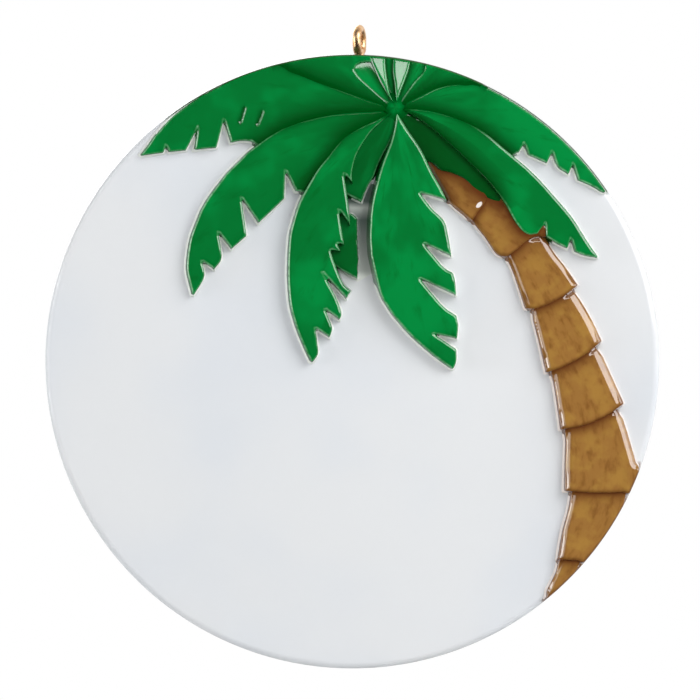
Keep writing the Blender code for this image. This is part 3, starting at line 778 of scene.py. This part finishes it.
def wallFields(node, spots, share):
    # where paint ran over the rim as a dark line of painted shade, where a wall's foot shows bare
    # resin, and how far the wall faces left
    lit = [other for other in relief if other not in shadedFronds]
    clear = grade(nearOthers(node, spots, lit), *wall["apart"])
    if node not in shadedFronds:
        clear *= grade(nearOthers(node, spots, shadedFronds), *wall["fromShade"])
    rim = grade(inFromRim(spots), *wall["rim"])
    run = closeRun(outlines[node])
    out = outward(run)[nearestOn(spots, run)[1]]
    left = np.clip(-out[:, 0] - wall["tilt"] * out[:, 1], -1, 1)
    painted = grade(share - (wall["bareTo"] - wall["leftLess"] * left) * clear, *wall["soft"])
    return rim, (1 - painted) * (1 - rim), left


# what falls off is given by its most, width and power, in millimetres
# fronds that melt into each other: how near they run, over which share of their length that ends, and
# the groove between them, darkened with painted shade
melted = {
    "near": (1.0, 0.7), "over": 0.25, "dip": (0.05, 1.2), "blend": (1, 2.2), "step": 0.04, "fall": 0.5,
    "soft": (1, 0.8, 4), "dull": (1, 0.4), "poolAndShade": (0.75, 0.6),
}
# a frond beneath another one sinks beside it, and its green is darker there: pooled paint and painted shade
beneath = {
    "sink": (0.26, 1.5), "leafletSink": (0.05, 1.5), "sinkFrom": (0.0, 0.15),
    "poolAndShade": 0.95, "spread": 1.2, "atCrown": 0.9, "leafletSpread": 0.5, "power": 1.5,
}
# the edge where a wall turns over into the top, its pale line of thin paint and painted highlight, and
# the walls and snips darkened with pooled paint and painted shade
turned = {
    "inland": (0.4, 0.7), "round": (0.10, 0.28, 1.5), "leafletRound": (0.03, 0.28, 1.5),
    "lineAt": 0.05, "line": (1, 0.075), "lineHigh": (0.6, 0.9),
    "thinAndSheen": 0.30, "leftSheen": 0.55, "left": (0.0, 0.6),
    "snip": (0.9, 0.65), "snipHigh": (0.85, 0.95), "wall": 0.75, "wallHigh": (0.84, 0.96),
    "facetHigh": (0.75, 0.85), "dullRim": (0.55, 0.35),
}
brushing = {"fan": 14, "apart": 5.3}   # how the strokes fan out from the crown, and differ between fronds


def crownReach(node, spots):
    # the leaflets of the fan are measured straight up to the rim, the fronds along their length
    away = spots - crown["place"]
    return away[:, 1] if "leaflet" in node else lengths(away)


def spineAt(node, reach):
    # how high a frond stands at a distance from the crown, and the share of its length there
    span = crownReach(node, plain[node])
    t = np.clip((reach - span.min()) / (span.max() - span.min()), 0, 1)
    base, middle, end = fronds[node]["spine"]
    return base * (1 - t) * (1 - 2 * t) + 4 * middle * t * (1 - t) + end * t * (2 * t - 1), t


def meltShare(over, under, reach):
    # how far one frond runs flush into another at a distance from the crown
    until = fronds[over].get("melts", {}).get(under)
    return 0 * reach if until is None else 1 - grade(spineAt(over, reach)[1], until, until + melted["over"])


def alongside(spots, loop, other):
    # distance into an outline, and whether that stretch of it runs along another piece
    run = closeRun(loop)
    far, index = nearestOn(spots, run)
    gap = np.maximum(-distanceIn(run, plain[other]), 0)
    return np.where(isInside(spots, loop), far, 0), grade(gap, *melted["near"])[index]


def makeFrond(node, form, material):
    loop = outlines[node]
    piece = pressOutline(node + "_painted", loop)
    places, spots, pressed = readSpots(piece)
    share = np.clip(pressed / press["rise"], 0, 1)
    away = spots - crown["place"]
    reach, fromRim = lengths(away), inFromRim(spots)
    top, along = spineAt(node, crownReach(node, spots))
    inside = distanceIn(spots, browLine(loop))
    poolAndShade, dull, slotShade = np.zeros((3, len(spots)))
    crisp = np.ones(len(spots))
    for other in form.get("melts", {}):
        depth, near = alongside(spots, loop, other)
        melt = near * meltShare(node, other, reach)
        top -= falloff(depth, *melted["dip"]) * melt
        crisp *= 1 - falloff(depth, *melted["soft"]) * melt
        dull = np.maximum(dull, falloff(depth, *melted["dull"]) * melt)
        # the crease between them is darkened as painted shade
        poolAndShade = np.maximum(poolAndShade, falloff(depth, *melted["poolAndShade"]) * melt)
    inland = grade(fromRim, *turned["inland"])
    rounding = turned["leafletRound" if "leaflet" in node else "round"]
    top -= falloff(np.maximum(inside, 0), *rounding) * crisp * inland
    for other in form.get("under", ()):
        far = distanceIn(spots, plain[other])
        beside, depth = np.maximum(-far, 0), np.maximum(far, 0)
        melt = meltShare(other, node, reach)
        flush = spineAt(other, reach)[0] - melted["step"]
        flush -= melted["fall"] * np.maximum(depth - tuck["lap"], 0)
        top += (flush - top) * falloff(beside, *melted["blend"]) * melt
        crease = falloff(beside, *melted["dull"]) * melt
        crisp *= 1 - crease
        dull = np.maximum(dull, crease)
        sink, spread = beneath["sink"], beneath["spread"] + beneath["atCrown"] * (1 - along)
        if "leaflet" in other:
            sink, spread = beneath["leafletSink"], beneath["leafletSpread"]
        top -= falloff(beside, *sink) * grade(along, *beneath["sinkFrom"]) * (1 - melt)
        # beside what lies over it the green is darker: pooled paint and painted shade
        poolAndShade = np.maximum(poolAndShade, falloff(beside, beneath["poolAndShade"], spread, beneath["power"]))
    # one side of this frond is darkened as painted shade
    if node == underside["node"]:
        depth, near = alongside(spots, loop, underside["beside"])
        dim = near * (1 - grade(along, *underside["until"]))
        poolAndShade = np.maximum(poolAndShade, falloff(depth, *underside["dark"]) * dim)
        crisp *= 1 - dim
    rim, bare, left = wallFields(node, spots, share)
    bare *= 1 - dull
    # the inner ends of the notches are darkened as painted shade and not left bare
    cuts = snips(plain[node])
    if len(cuts):
        dark = falloff(nearestOn(spots, cuts)[0], *turned["snip"])
        bare *= 1 - dark
        poolAndShade = np.maximum(poolAndShade, dark * (1 - grade(share, *turned["snipHigh"])))
    # a pale line along the edge: thin paint and a painted highlight, stronger on edges facing left
    edge = falloff(inside - turned["lineAt"], *turned["line"]) * grade(share, *turned["lineHigh"])
    thinAndSheen = edge * crisp * inland * (turned["thinAndSheen"] + turned["leftSheen"] * grade(left, *turned["left"]))
    if node in edgeEnds:
        thinAndSheen *= 1 - grade(along, *edgeEnds[node])
    if node in facets or node == "frond_shaded":
        thinAndSheen *= 0
    if node in facets:
        dull = 1 - grade(share, *turned["facetHigh"])
    # the walls are darker: pooled paint and painted shade
    poolAndShade = np.maximum(poolAndShade, turned["wall"] * crisp * (1 - grade(share, *turned["wallHigh"])))
    # beside the leaf behind, a low sheet darkened as a painted shadow fills the gap
    if node == slotShadow["node"]:
        stands = grade(distanceIn(spots, slotShadow["line"]), *slotShadow["edge"])
        top = slotShadow["low"] + (top - slotShadow["low"]) * stands
        slotShade = (1 - stands) * (1 - np.interp(spots[:, 1], *slotShadow["shadeFade"]))
        bare = np.maximum(bare, 1 - stands)
        thinAndSheen *= stands
    if node == slits["node"]:
        for start, stop in slits["lines"]:
            line = np.linspace(start, stop, slits["steps"])
            far, index = nearestOn(spots, line)
            right = spots[:, 0] > line[index][:, 0]
            cut = falloff(far, *slits["cut"])
            top -= slits["deep"] * cut
            # a painted highlight on the cut's right side, painted shade on its left
            pale = falloff(far - slits["paleAt"], *slits["pale"])
            thinAndSheen = np.maximum(thinAndSheen, np.where(right, pale, 0))
            poolAndShade = np.maximum(poolAndShade, slits["dark"] * np.where(right, cut, falloff(far, *slits["darkSide"])))
    heights = np.where(pressed > 0, pressed * top / press["rise"], pressed)
    # the brush went along the frond, and the strokes fan out from its middle line
    middle = plain[node].mean(axis=0) - crown["place"]
    turn = np.arctan2(middle[0] * away[:, 1] - middle[1] * away[:, 0], away @ middle)
    flow = np.stack([turn * brushing["fan"] + list(fronds).index(node) * brushing["apart"], reach], axis=1)
    fields = {
        "poolAndShade": np.maximum(poolAndShade, shadedFronds.get(node, 0)), "thinAndSheen": thinAndSheen, "bare": bare, "rim": rim,
        "slotShadow": slotShade, "tone": np.full(len(spots), form["tone"]),
        "dull": np.maximum(dull, grade(fromRim, *turned["dullRim"])), "flow": flow,
    }
    writeSpots(piece, places, heights, fields)
    finishPiece(piece, node, "disc", material)


# the trunk's axis from the crown to the rim, and the forms and paint that its scales share
trunk = {
    "axis": [
        (27.5, 61.7), (41.3, 48.4), (54.6, 36.7), (64.0, 20.6), (72.0, 1.6), (77.9, -17.9), (79.0, -42.3),
        (70.7, -64.5), (62.0, -77.0),
    ],
    "spacing": 0.4, "ends": (4, 96), "lengthwise": 0.72, "offRim": 0.7, "lowest": 0.35, "apart": 9.7,
    "slopes": (0.58, 0.54), "soft": 0.01,             # how steep the left and right bevels are
    "dip": (0.22, 0.5), "dipFrom": (0.15, 0.65), "roll": (0.12, 0.4), "lipFrom": (0.6, 0.8),
    # how the bark darkens beneath the scale above, beneath the fronds and at the lip, as painted shade
    "poolAndShade": (0.92, 0.9, 1.3), "frondShade": (0.92, 1.6, 1.3), "lipPoolAndShade": (0.6, 0.3),
    "wall": 0.75, "wallHigh": (0.80, 0.95),
}
# a pale oval on the lip of the first scale
paleOval = {
    "node": "trunk_scale_1", "place": drawn((41.2, 50.9)), "turn": 0.75, "size": (0.52, 0.27),
    "edge": (0.6, 1.3), "bare": 1.3, "above": 0.8,
}


def trunkPlace(spots):
    # how far down the trunk each spot lies, how far aside of its axis, and the axis' direction there
    line = np.array(throughPoints(drawn(trunk["axis"]), trunk["spacing"]) + [drawn(trunk["axis"][-1])])
    reached = np.concatenate([[0], np.cumsum(lengths(np.diff(line, axis=0)))])
    index = nearestOn(spots, line)[1]
    offset = spots - line[index]
    way = unit(np.gradient(line, axis=0))[index]
    down = reached[index] + np.sum(offset * way, axis=1)
    aside = way[:, 0] * offset[:, 1] - way[:, 1] * offset[:, 0]
    return down, aside, way


def sideDistance(spots, loop, side):
    # distance from the right (+1) or left (-1) side of a scale, where it isn't the rim
    run = closeRun(loop)
    ahead = unit(np.roll(run, -1, axis=0) - run)
    aside, way = trunkPlace(run)[1:]
    lengthwise = np.abs(np.sum(ahead * way, axis=1)) > trunk["lengthwise"]
    sides = run[lengthwise & (aside * side > 0) & (inFromRim(run) > trunk["offRim"])]
    return nearestOn(spots, sides)[0]


def makeScale(node, form, material):
    loop = outlines[node]
    piece = pressOutline(node + "_painted", loop)
    places, spots, pressed = readSpots(piece)
    share = np.clip(pressed / press["rise"], 0, 1)
    down, aside = trunkPlace(spots)[:2]
    edgeDown, edgeAside = trunkPlace(plain[node])[:2]
    first, last = np.percentile(edgeDown, trunk["ends"])
    along = np.clip((down - first) / (last - first), 0, 1)
    across = aside / np.abs(edgeAside).max()
    top = form["neck"] + (form["lip"] - form["neck"]) * along
    for side, width, slope in zip((-1, 1), form["bevels"], trunk["slopes"]):
        if width:
            into = width - sideDistance(spots, browLine(plain[node]), side)
            top -= slope * (into + np.sqrt(into ** 2 + trunk["soft"])) / 2
    # beneath the scale above and beneath the fronds the bark is darkened as painted shade
    poolAndShade = np.zeros(len(spots))
    for other in form["under"]:
        beside = np.maximum(-distanceIn(spots, plain[other]), 0)
        if other in scales and form["bevels"][1]:
            # the neck dips beneath the lip above it at its right end, where it catches the light
            top -= falloff(beside, *trunk["dip"]) * grade(across, *trunk["dipFrom"])
        poolAndShade = np.maximum(poolAndShade, falloff(beside, *trunk["poolAndShade" if other in scales else "frondShade"]))
    # the lip rolls over, and its edge is darker: dark paint and painted shade
    lip = grade(along, *trunk["lipFrom"])
    inside = np.maximum(distanceIn(spots, browLine(loop)), 0)
    top -= falloff(inside, *trunk["roll"]) * lip
    poolAndShade = np.maximum(poolAndShade, falloff(inside, *trunk["lipPoolAndShade"]) * lip)
    # the walls are darker too, as painted shade
    poolAndShade = np.maximum(poolAndShade, trunk["wall"] * (1 - grade(share, *trunk["wallHigh"])))
    rim, bare = wallFields(node, spots, share)[:2]
    if node == paleOval["node"]:
        turn = paleOval["turn"]
        spin = np.array([[math.cos(turn), -math.sin(turn)], [math.sin(turn), math.cos(turn)]])
        oval = lengths((spots - paleOval["place"]) @ spin / np.array(paleOval["size"]))
        bare = np.maximum(bare, paleOval["bare"] * (1 - grade(oval, *paleOval["edge"])) * (share > paleOval["above"]))
    heights = np.where(pressed > 0, pressed * np.maximum(top, trunk["lowest"]) / press["rise"], pressed)
    flow = np.stack([aside + list(scales).index(node) * trunk["apart"], down], axis=1)
    writeSpots(piece, places, heights, {"poolAndShade": poolAndShade, "bare": bare, "rim": rim, "flow": flow})
    finishPiece(piece, node, "disc", material)


# the knot where the fronds meet, in millimetres, and how it darkens outward as painted shade and dulls
heart = {
    "segments": 96, "rings": 64, "radius": 2.1, "rise": 1.72, "fall": 0.14, "foot": 0.1, "fan": 4,
    "poolAndShade": 0.25, "outerPoolAndShade": 0.50, "poolAndShadeFrom": (0.3, 1.3), "dullFrom": (0.3, 0.6),
}


def makeHeart(material):
    # it spreads beneath the fronds, so that only its middle and its creases show
    deselectAll()
    bpy.ops.mesh.primitive_uv_sphere_add(
        segments=heart["segments"], ring_count=heart["rings"], radius=heart["radius"] * mm,
    )
    piece = bpy.context.object
    piece.name = "crown_heart_painted"
    middle = crown["place"]
    standUp((discMiddle.x + middle[0] * mm, discFace, discMiddle.z + middle[1] * mm))
    editAll()
    bpy.ops.mesh.bisect(
        plane_co=(0, discFace + press["sink"] * mm, 0), plane_no=(0, 1, 0), use_fill=True, clear_outer=True,
    )
    endEdit()
    places, spots, heights = readSpots(piece)
    away = spots - middle
    reach = lengths(away)
    turn = np.arctan2(away[:, 1], away[:, 0])
    dome = heart["rise"] - heart["fall"] * reach ** 2
    dome *= grade(reach, heart["radius"], heart["radius"] - heart["foot"])
    none = np.zeros(len(spots))
    # the heart's green is dark, and darker still outward beneath the fronds as painted shade
    fields = {
        "poolAndShade": heart["poolAndShade"] + heart["outerPoolAndShade"] * grade(reach, *heart["poolAndShadeFrom"]),
        "dull": grade(reach, *heart["dullFrom"]), "flow": np.stack([turn * heart["fan"], reach], axis=1),
        "thinAndSheen": none, "bare": none, "rim": none, "tone": none,
    }
    writeSpots(piece, places, np.where(heights > 0, dome, heights), fields)
    finishPiece(piece, "crown_heart", "disc", material)


blank = {
    "sides": 360, "roundSteps": 10, "ring": 0.4, "smooth": 40, "holeSides": 48,
    # radius and height of the hole for the eye, from the dimple its loop sits in to its end
    "hole": [(1.62, -1.0), (1.62, -1.98), (1.30, -2.16), (0.995, -2.2), (0.845, -2.579), (0.845, -11.5)],
    # how far in from the rim, down it and off the painted pieces their paint laps, darkened there as
    # painted shade
    "lapIn": (0.75, 0.45), "lapDown": (-1.5, -1.0), "lapOff": (0.36, 0.16),
}


def makeDisc(material):
    piece = newCircle("disc_lacquered", blank["sides"], discRadius)
    standUp((discMiddle.x, blankLow.y, discMiddle.z))
    editAll()
    bpy.ops.mesh.extrude_region_move(TRANSFORM_OT_translate={"value": (0, blankHigh.y - blankLow.y, 0)})
    faceOutward()
    corners = [vert.co.copy() for vert in piece.data.vertices]
    pickParts(
        piece, "EDGE",
        lambda edge: abs(corners[edge.vertices[0]].y - corners[edge.vertices[1]].y) < level,
    )
    bpy.ops.mesh.bevel(offset=press["rimRound"] * mm, segments=blank["roundSteps"], affect="EDGES")
    endEdit()
    # a thin ring inside each flat face keeps the edge's shading off the flat
    pickParts(piece, "FACE", lambda face: len(face.vertices) == blank["sides"])
    bpy.ops.mesh.inset(thickness=blank["ring"] * mm, use_individual=True)
    endEdit()
    cutHole(piece)
    paintRim(piece)
    finishPiece(piece, "disc_blank", "disc", material, blank["smooth"])


def cutHole(piece):
    # the pilot hole in the rim, flared where the eye's neck turns
    rings = blank["hole"]
    drill = newCircle("pilot_drill", blank["holeSides"], rings[0][0] * mm)
    editAll()
    bpy.ops.transform.translate(value=(0, 0, rings[0][1] * mm))
    for (radius, height), (nextRadius, nextHeight) in zip(rings, rings[1:]):
        fall = (nextHeight - height) * mm
        bpy.ops.mesh.extrude_region_move(TRANSFORM_OT_translate={"value": (0, 0, fall)})
        grow = nextRadius / radius
        bpy.ops.transform.resize(value=(grow, grow, 1), center_override=(0, 0, nextHeight * mm))
    faceOutward()
    useModifier(piece, "BOOLEAN", object=drill, operation="DIFFERENCE", solver="EXACT")
    bpy.data.objects.remove(drill, do_unlink=True)


def paintRim(piece):
    # the paint of the fronds and the trunk laps the front of the rim, darkened there as painted shade
    spots, heights = readSpots(piece)[1:]
    edge = grade(inFromRim(spots), *blank["lapIn"]) * grade(heights, *blank["lapDown"])
    for field, nodes in (("lapAndShadeGreen", fronds), ("lapAndShadeBrown", scales)):
        off = nearestOn(spots, np.vstack([closeRun(plain[node]) for node in nodes]))[0]
        writeFields(piece, {field: edge * grade(off, *blank["lapOff"])})


# the wire and its loop in millimetres and degrees, the bend into the shank, and the thread
eye = {
    "wire": 1.15, "inner": 2.0, "square": 3.0, "free": 15.0, "tail": 25.0, "turn": -103.0, "sides": 8,
    "loopSteps": 96, "bendSteps": 16, "bend": (0.5, -0.08), "bendDrop": 0.15, "bendEnd": 1.0,
    "point": 1.2, "sharp": 0.15,
    "threadTop": 1.8, "pitch": 0.8, "threadWire": 0.30, "turnSteps": 24, "sunk": 0.03,
    "fadeSteps": 12, "fadeSunk": 0.15,
}


def wireFrom(name, points, thick, radii, sides):
    curve = bpy.data.curves.new(name, "CURVE")
    curve.dimensions = "3D"
    curve.bevel_depth = thick * mm / 2
    curve.bevel_resolution = sides
    curve.use_fill_caps = True
    line = curve.splines.new("POLY")
    line.points.add(len(points) - 1)
    for knot, spot, radius in zip(line.points, points, radii):
        knot.co = (spot[0] * mm, spot[1] * mm, spot[2] * mm, 1)
        knot.radius = radius
    makeActive(newObject(name, curve))
    bpy.ops.object.convert(target="MESH")
    editAll()
    bpy.ops.mesh.remove_doubles(threshold=same)
    faceOutward()
    return bpy.context.object


def makeEye(material):
    loopRadius = (eye["inner"] + eye["wire"]) / 2

    def onLoop(angle):
        # round above and squarer below, where the loop sits down on the rim
        across, up = math.sin(angle), -math.cos(angle)
        if up < 0:
            power = 2 / eye["square"]
            across, up = math.copysign(abs(across) ** power, across), -abs(up) ** power
        return Vector((across, up)) * loopRadius

    free, tail = math.radians(eye["free"]), math.radians(eye["tail"])
    steps = eye["loopSteps"]
    spots = [onLoop(free + (math.tau - free - tail) * step / steps) for step in range(steps)]
    # then it bends down into the shank
    leave = onLoop(math.tau - tail)
    hold = leave + Vector(eye["bend"])
    drop, end = Vector((0, leave.y - eye["bendDrop"])), Vector((0, leave.y - eye["bendEnd"]))
    for step in range(eye["bendSteps"] + 1):
        t = step / eye["bendSteps"]
        s = 1 - t
        spots.append(s ** 3 * leave + 3 * t * s ** 2 * hold + 3 * t * t * s * drop + t ** 3 * end)
    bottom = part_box("screw_eye")[0].z / mm
    path = [(spot.x, 0, spot.y) for spot in spots] + [(0, 0, bottom + eye["point"]), (0, 0, bottom)]
    radii = [1.0] * (len(path) - 1) + [eye["sharp"]]
    piece = wireFrom("screw_eye_bright", path, eye["wire"], radii, eye["sides"])
    # a helix of thin wire, half sunk in the shank, makes the thread
    top = blankHigh.z / mm - eye["threadTop"]
    count = int((top - bottom - eye["point"]) / eye["pitch"] * eye["turnSteps"])
    helix = []
    for step in range(count + 1):
        angle = -math.tau * step / eye["turnSteps"]
        fade = min(step, count - step, eye["fadeSteps"]) / eye["fadeSteps"]
        radius = eye["wire"] / 2 - eye["sunk"] - eye["fadeSunk"] * (1 - fade)
        drop = eye["pitch"] * step / eye["turnSteps"]
        helix.append((radius * math.cos(angle), radius * math.sin(angle), top - drop))
    thread = wireFrom("eye_thread", helix, eye["threadWire"], [1.0] * len(helix), 1)
    makeActive(piece)
    thread.select_set(True)
    bpy.ops.object.join()
    bpy.ops.transform.rotate(value=-math.radians(eye["turn"]), orient_axis="Z", center_override=(0, 0, 0))
    bpy.ops.object.transform_apply(location=True, rotation=True, scale=True)
    finishPiece(piece, "screw_eye", "eye", material)


makeDisc(makeDiscFinish())
print("disc made")
makeEye(makeEyeFinish())
print("screw eye made")
leafFinish = makeLeafFinish("brushed_leaf_green", 0.0)
shadeFinish = makeLeafFinish("shaded_leaf_green", leafPaint["shade"])
for node, form in fronds.items():
    if node in shadedFronds:
        makeFrond(node, form, shadeFinish)
    else:
        makeFrond(node, form, leafFinish)
makeHeart(leafFinish)
print("fronds made")
barkFinish = makeBarkFinish()
for node, form in scales.items():
    makeScale(node, form, barkFinish)
print("trunk made")

# a pale floor that fades into the background, in millimetres
stage = {
    "drop": 55.0, "radius": 420.0, "sides": 128, "fade": (100.0, 378.0),
    "pale": srgb(236, 236, 236), "rough": 0.9,
}
white = (1, 1, 1, 1)


def makeFloor():
    place = (discMiddle.x, 0, blankLow.z - stage["drop"] * mm)
    floor = newCircle("pale_floor", stage["sides"], stage["radius"] * mm, place)
    material, tree, shader = newMaterial("pale_floor")
    plug(tree, shader, {"Base Color": stage["pale"], "Roughness": stage["rough"]})
    spot = addNode(tree, "ShaderNodeTexCoord").outputs["Object"]
    far = addNode(tree, "ShaderNodeVectorMath", {0: spot}, operation="LENGTH").outputs["Value"]
    fade = ramp(tree, far, *(distance * mm for distance in stage["fade"]))
    glow = addNode(tree, "ShaderNodeEmission", {"Color": white, "Strength": 1.0})
    seen = addNode(tree, "ShaderNodeLightPath").outputs["Is Camera Ray"]
    both = mathNode(tree, "MULTIPLY", fade, seen)
    blend = addNode(tree, "ShaderNodeMixShader", {0: both, 1: shader.outputs[0], 2: glow.outputs[0]})
    tree.links.new(blend.outputs[0], tree.nodes["Material Output"].inputs["Surface"])
    floor.data.materials.append(material)
    floor.visible_glossy = False


# how bright the room is, in itself and as the gloss mirrors it
room = {
    "diffuse": 0.15, "behind": (-0.25, 0.35, 0.03, 1.0), "below": (-0.5, 0.0, 0.1, 1.0),
}


def makeWorld():
    world = bpy.data.worlds.new("studio")
    bpy.context.scene.world = world
    world.use_nodes = True
    tree = world.node_tree
    path = addNode(tree, "ShaderNodeLightPath").outputs
    way = addNode(tree, "ShaderNodeTexCoord").outputs["Generated"]
    parts = addNode(tree, "ShaderNodeSeparateXYZ", {0: way}).outputs
    # the room is dark on the photographer's side and below
    behind = ramp(tree, parts["Y"], *room["behind"])
    behind = mathNode(tree, "MULTIPLY", behind, ramp(tree, parts["Z"], *room["below"]))
    shine = mathNode(tree, "MAXIMUM", path["Is Glossy Ray"], path["Is Transmission Ray"])
    strength = addNode(tree, "ShaderNodeMix", {0: shine, 2: room["diffuse"], 3: behind}).outputs[0]
    strength = addNode(tree, "ShaderNodeMix", {0: path["Is Camera Ray"], 2: strength, 3: 1.0}).outputs[0]
    plug(tree, tree.nodes["Background"], {"Color": white, "Strength": strength})


# place and size in millimetres from the disc's middle, and watts
lamps = {
    "keyRight": {"place": (330, -300, 230), "size": (300, 400), "power": 1.93},
    "fillLeft": {"place": (-380, -230, 60), "size": (120, 420), "power": 0.38},
    "sideLeft": {"place": (-520, -110, 40), "size": (120, 300), "power": 0.8},
    "sideRight": {"place": (520, -110, 120), "size": (120, 300), "power": 0.4},
    "fanBox": {"place": (0, -371, 216), "size": (150, 44), "power": 0.118},
    "overhead": {"place": (20, -250, 330), "size": (260, 220), "power": 0.10},
    "rear": {"place": (-150, 420, 200), "size": (320, 320), "power": 0.9},
}


def makeLamps():
    for name, form in lamps.items():
        light = bpy.data.lights.new(name, "AREA")
        light.shape = "RECTANGLE"
        light.size = form["size"][0] * mm
        light.size_y = form["size"][1] * mm
        light.energy = form["power"]
        lamp = newObject(name, light)
        lamp.location = discMiddle + Vector(form["place"]) * mm
        lamp.rotation_euler = (discMiddle - lamp.location).to_track_quat("-Z", "Y").to_euler()
        lamp.visible_camera = False


# the photograph is square on to the disc: its middle and radius there, in pixels of 700
view = {"middle": (352.4, 361.4), "radius": 306.6, "frame": 700, "lens": 400.0, "sensor": 36.0}


def makeCamera():
    pixel = discRadius / view["radius"]
    lens = bpy.data.cameras.new("photo_camera")
    lens.lens = view["lens"]
    lens.sensor_width = view["sensor"]
    camera = newObject("photo_camera", lens)
    away = pixel * view["frame"] * view["lens"] / view["sensor"]
    half = view["frame"] / 2
    camera.location = (
        discMiddle.x + (half - view["middle"][0]) * pixel,
        discMiddle.y - away,
        discMiddle.z + (view["middle"][1] - half) * pixel,
    )
    camera.rotation_euler = (math.pi / 2, 0, 0)
    bpy.context.scene.camera = camera


makeFloor()
makeWorld()
makeLamps()
makeCamera()
bpy.context.scene.view_settings.view_transform = "Standard"
print("stage ready")
